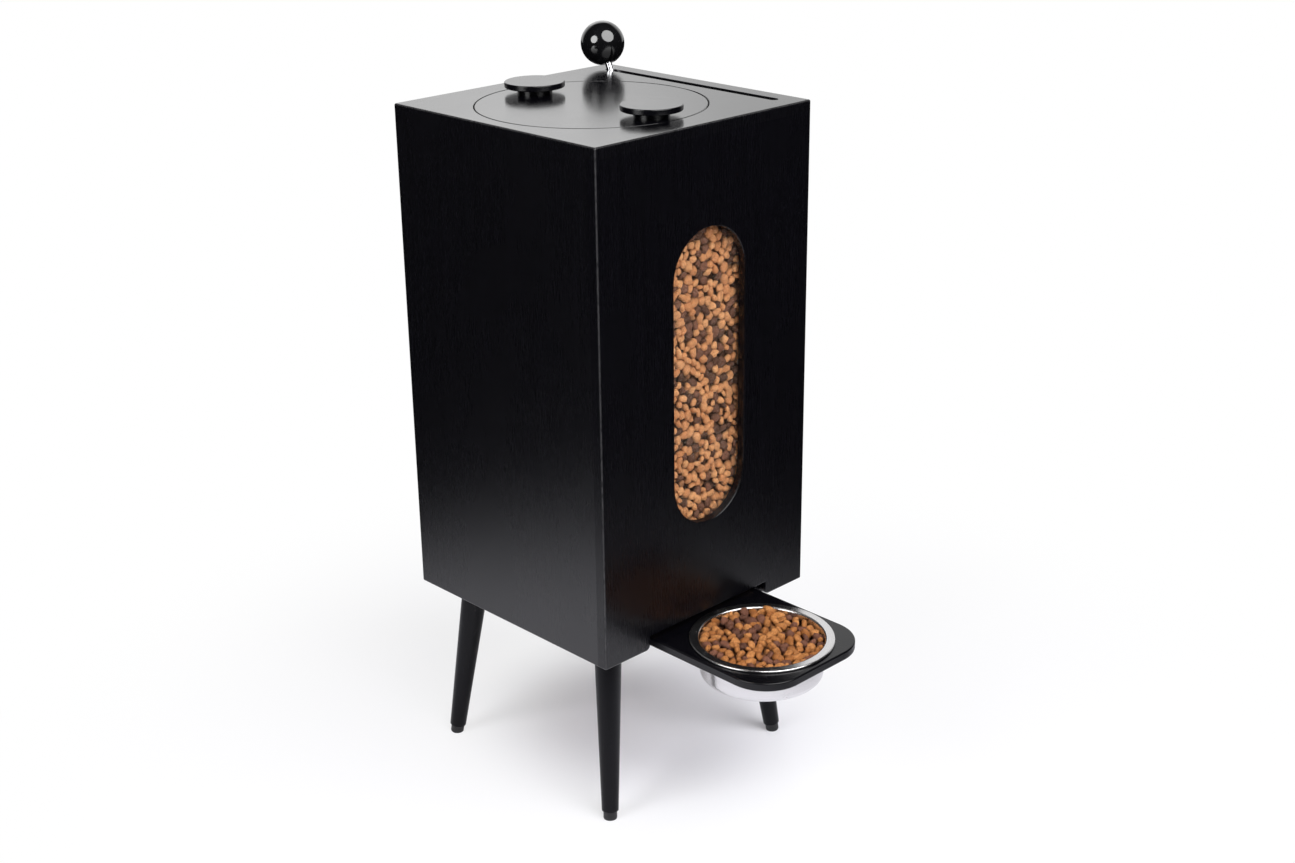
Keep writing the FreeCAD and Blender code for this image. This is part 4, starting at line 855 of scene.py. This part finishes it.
class DISPENSER_OT_bowl_food(Operator):
    """Heap lumps of food in the bowl"""
    bl_idname = "dispenser.bowl_food"
    bl_label = "Food in the bowl"

    def execute(self, context):
        food = context.scene.dispenser_food
        dice = random.Random(food.seed + 2)
        middle = np.array((bowl_middle.x, bowl_middle.y))
        depth = 2.4 * food.lump_size

        def inside(points, widths):
            flat = points[:, :2] - middle
            away = np.hypot(flat[:, 0], flat[:, 1])
            reach = bowl_radius(points[:, 2]) - widths / 2
            points[:, :2] = middle + flat * np.minimum(1, reach / np.maximum(away, 1e-9))[:, None]
            top = heap_height(flat[:, 0], flat[:, 1])
            points[:, 2] = np.clip(points[:, 2], top - depth, top - widths * 0.3)
            return points

        def hold(place):
            flat = place.xy - bowl_middle.xy
            reach = bowl_radius(place.z)
            if flat.length > reach:
                place.xy = bowl_middle.xy + flat.normalized() * reach
            place.z = min(place.z, brim_at(flat))
            return place

        def buried(place):
            flat = place.xy - bowl_middle.xy
            return heap_height(flat.x, flat.y) - place.z

        brim = bowl_high.z + HEAP_BRIM
        wall = bowl_radius(bowl_high.z)
        low = np.array((*(middle - wall), brim - depth - food.lump_size))
        high = np.array((*(middle + wall), brim))
        points, widths = scatter(food, dice, low, high, 0.38)
        points, widths = settle(points, widths, low, high, np.zeros(3), 60, inside)
        proud = (*(middle + np.array(PROUD_PLACE)), bowl_high.z + PROUD_BRIM - PROUD_WIDTH / 2)
        points, widths = np.vstack((points, proud)), np.append(widths, PROUD_WIDTH)
        material = food_finish("food_in_bowl")
        pour("food_in_bowl", material, "tray", points, widths, dice, hold, buried)
        return {"FINISHED"}


# Stage and camera

IMAGE_WIDTH, IMAGE_HEIGHT = 1295, 863
CAMERA_PLACE = Vector((-1.29464, -1.31312, 1.12716))
CAMERA_AZIMUTH = math.radians(-44.267)
CAMERA_DOWN = math.radians(21.549)
CAMERA_ROLL = math.radians(-0.670)
FOCAL_PIXELS = 1846.9
SENSOR_WIDTH = 36


def camera_axes():
    """Right, up and back of the camera."""
    level = math.cos(CAMERA_DOWN)
    ahead = Vector((-math.sin(CAMERA_AZIMUTH) * level, math.cos(CAMERA_AZIMUTH) * level,
                    -math.sin(CAMERA_DOWN)))
    right = ahead.cross(Vector((0, 0, 1))).normalized()
    up = right.cross(ahead)
    roll = Matrix.Rotation(-CAMERA_ROLL, 3, ahead)
    return roll @ right, roll @ up, -ahead


def add_camera():
    """The camera, where the photograph's stood."""
    lens = bpy.data.cameras.new("camera")
    lens.sensor_fit = "HORIZONTAL"
    lens.sensor_width = SENSOR_WIDTH
    lens.lens = FOCAL_PIXELS / IMAGE_WIDTH * SENSOR_WIDTH
    lens.clip_start = 0.05
    camera = bpy.data.objects.new("camera", lens)
    right, up, back = camera_axes()
    turn = Matrix((right, up, back)).transposed().to_4x4()
    camera.matrix_world = Matrix.Translation(CAMERA_PLACE) @ turn
    bpy.context.scene.collection.objects.link(camera)
    bpy.context.scene.camera = camera


def add_lamp(name, toward, distance, size, power):
    """A round lamp that faces the ball."""
    lamp = bpy.data.lights.new(name, "AREA")
    lamp.shape = "DISK"
    lamp.size = size
    lamp.energy = power
    holder = bpy.data.objects.new(name, lamp)
    holder.location = ball_middle + toward.normalized() * distance
    holder.rotation_euler = toward.to_track_quat("Z", "Y").to_euler()
    bpy.context.scene.collection.objects.link(holder)


LIT_PATCH = Vector((-0.15, 0.02))
SHADED_PATCH = Vector((0.06, 0.05))


def far_from(finish, spot):
    """Distance over the floor from a spot."""
    x, y = (finish.axis(name, finish.moved(-spot.x, -spot.y, 0)) for name in "XY")
    return (x * x + y * y) ** 0.5


def floor_finish(colour):
    """A pale floor: plain white to the eye far off, and dark there to a mirror."""
    finish = Finish("floor")
    lit_away, shaded_away = (far_from(finish, spot) for spot in (LIT_PATCH, SHADED_PATCH))
    lit = finish.add("BsdfDiffuse", None, {"Color": (*colour, 1)})
    white = finish.add("Emission", None, {"Color": (1, 1, 1, 1), "Strength": 1.0})
    dim = finish.add("Emission", None, {"Color": (1, 1, 1, 1), "Strength": 0.006})
    seen = finish.add("LightPath", None, None, "Is Camera Ray")
    mirrored = finish.add("LightPath", None, None, "Is Glossy Ray")
    bright = finish.ramp(shaded_away, 0.07, 0.27, 0.0, 0.75)
    bright = bright + finish.ramp(shaded_away, 0.3, 0.8, 0, 0.25)
    near = finish.add("MixShader", None, {0: bright * seen, 1: lit, 2: white})
    dark = finish.ramp(lit_away, 0.45, 0.88) * mirrored
    return finish.finished(finish.add("MixShader", None, {0: dark, 1: near, 2: dim}))


def add_floor(colour):
    """A wide plain floor under the object."""
    shape = bmesh.new()
    bmesh.ops.create_grid(shape, x_segments=1, y_segments=1, size=9)
    mesh = bpy.data.meshes.new("floor")
    shape.to_mesh(mesh)
    shape.free()
    mesh.materials.append(floor_finish(colour))
    floor = bpy.data.objects.new("floor", mesh)
    floor.location.z = cad_box[0][2]
    bpy.context.scene.collection.objects.link(floor)


def add_world():
    """White to the eye, a white backdrop and a dark room to mirrors, soft grey light else."""
    world = bpy.data.worlds.new("world")
    bpy.context.scene.world = world
    world.use_nodes = True
    sky = Finish.__new__(Finish)
    sky.tree = world.node_tree
    sky.tree.nodes.clear()
    toward = sky.add("TexCoord", output="Generated")
    _, _, back = camera_axes()
    depth = sky.add("VectorMath", {"operation": "DOT_PRODUCT"},
                    {0: toward, 1: (-back.x, -back.y, 0)}, "Value")
    behind = sky.ramp(depth, 0.45, 0.75) * sky.ramp(sky.axis("Z", toward), 0.72, 0.5)
    backdrop = 0.01 + behind * 0.99
    seen = sky.add("LightPath", None, None, "Is Camera Ray")
    clear = sky.add("LightPath", None, None, "Is Transmission Ray")
    mirrored = sky.add("LightPath", None, None, "Is Glossy Ray")
    eye = seen.most(clear)
    soft = (1 - eye) * (1 - mirrored) * 0.2
    strength = eye + (1 - eye) * mirrored * backdrop + soft
    shade = sky.add("Background", None, {"Color": (1, 1, 1, 1), "Strength": strength})
    output = sky.tree.nodes.new("ShaderNodeOutputWorld")
    sky.tree.links.new(shade.output, output.inputs["Surface"])


class DISPENSER_OT_stage(Operator):
    """Set up the camera, lamps, floor and backdrop"""
    bl_idname = "dispenser.stage"
    bl_label = "Stage"

    def execute(self, context):
        stage = context.scene.dispenser_stage
        context.scene.view_settings.view_transform = "Standard"
        add_camera()
        right, up, back = camera_axes()
        key = right * 0.453 + up * 0.427 + back * 0.782
        side = right * -0.685 + up * 0.148 + back * 0.712
        add_lamp("key", key, 4.5, 5.2, stage.key_power)
        add_lamp("side", side, 4.5, 2.86, stage.side_power)
        add_lamp("behind", Vector((0.55, 0.75, 0.5)), 2.2, 1.4, stage.back_power)
        add_floor(stage.floor)
        add_world()
        return {"FINISHED"}


# The panel, and the whole dispenser

OPERATORS = (
    DISPENSER_OT_stage,
    DISPENSER_OT_stained_wood,
    DISPENSER_OT_plywood,
    DISPENSER_OT_metal,
    DISPENSER_OT_plastic,
    DISPENSER_OT_window_food,
    DISPENSER_OT_food_mass,
    DISPENSER_OT_hopper_food,
    DISPENSER_OT_bowl_food,
)
SETTINGS = {
    "dispenser_food": FoodSettings,
    "dispenser_wood": WoodSettings,
    "dispenser_metal": MetalSettings,
    "dispenser_stage": StageSettings,
}


class DISPENSER_PT_pieces(Panel):
    """Lists the dispenser's settings and pieces"""
    bl_label = "Kibble Dispenser"
    bl_space_type = "VIEW_3D"
    bl_region_type = "UI"
    bl_category = "Dispenser"

    def draw(self, context):
        for name, kind in SETTINGS.items():
            column = self.layout.column()
            for key in kind.__annotations__:
                column.prop(getattr(context.scene, name), key)
        for kind in OPERATORS:
            self.layout.operator(kind.bl_idname)


def register():
    for kind in (*SETTINGS.values(), *OPERATORS, DISPENSER_PT_pieces):
        bpy.utils.register_class(kind)
    for name, kind in SETTINGS.items():
        setattr(bpy.types.Scene, name, PointerProperty(type=kind))


def unregister():
    for name in SETTINGS:
        delattr(bpy.types.Scene, name)
    for kind in (DISPENSER_PT_pieces, *reversed(OPERATORS), *reversed(SETTINGS.values())):
        bpy.utils.unregister_class(kind)


def main():
    register()
    for kind in OPERATORS:
        group, name = kind.bl_idname.split(".")
        getattr(getattr(bpy.ops, group), name)()


if __name__ == "__main__":
    main()
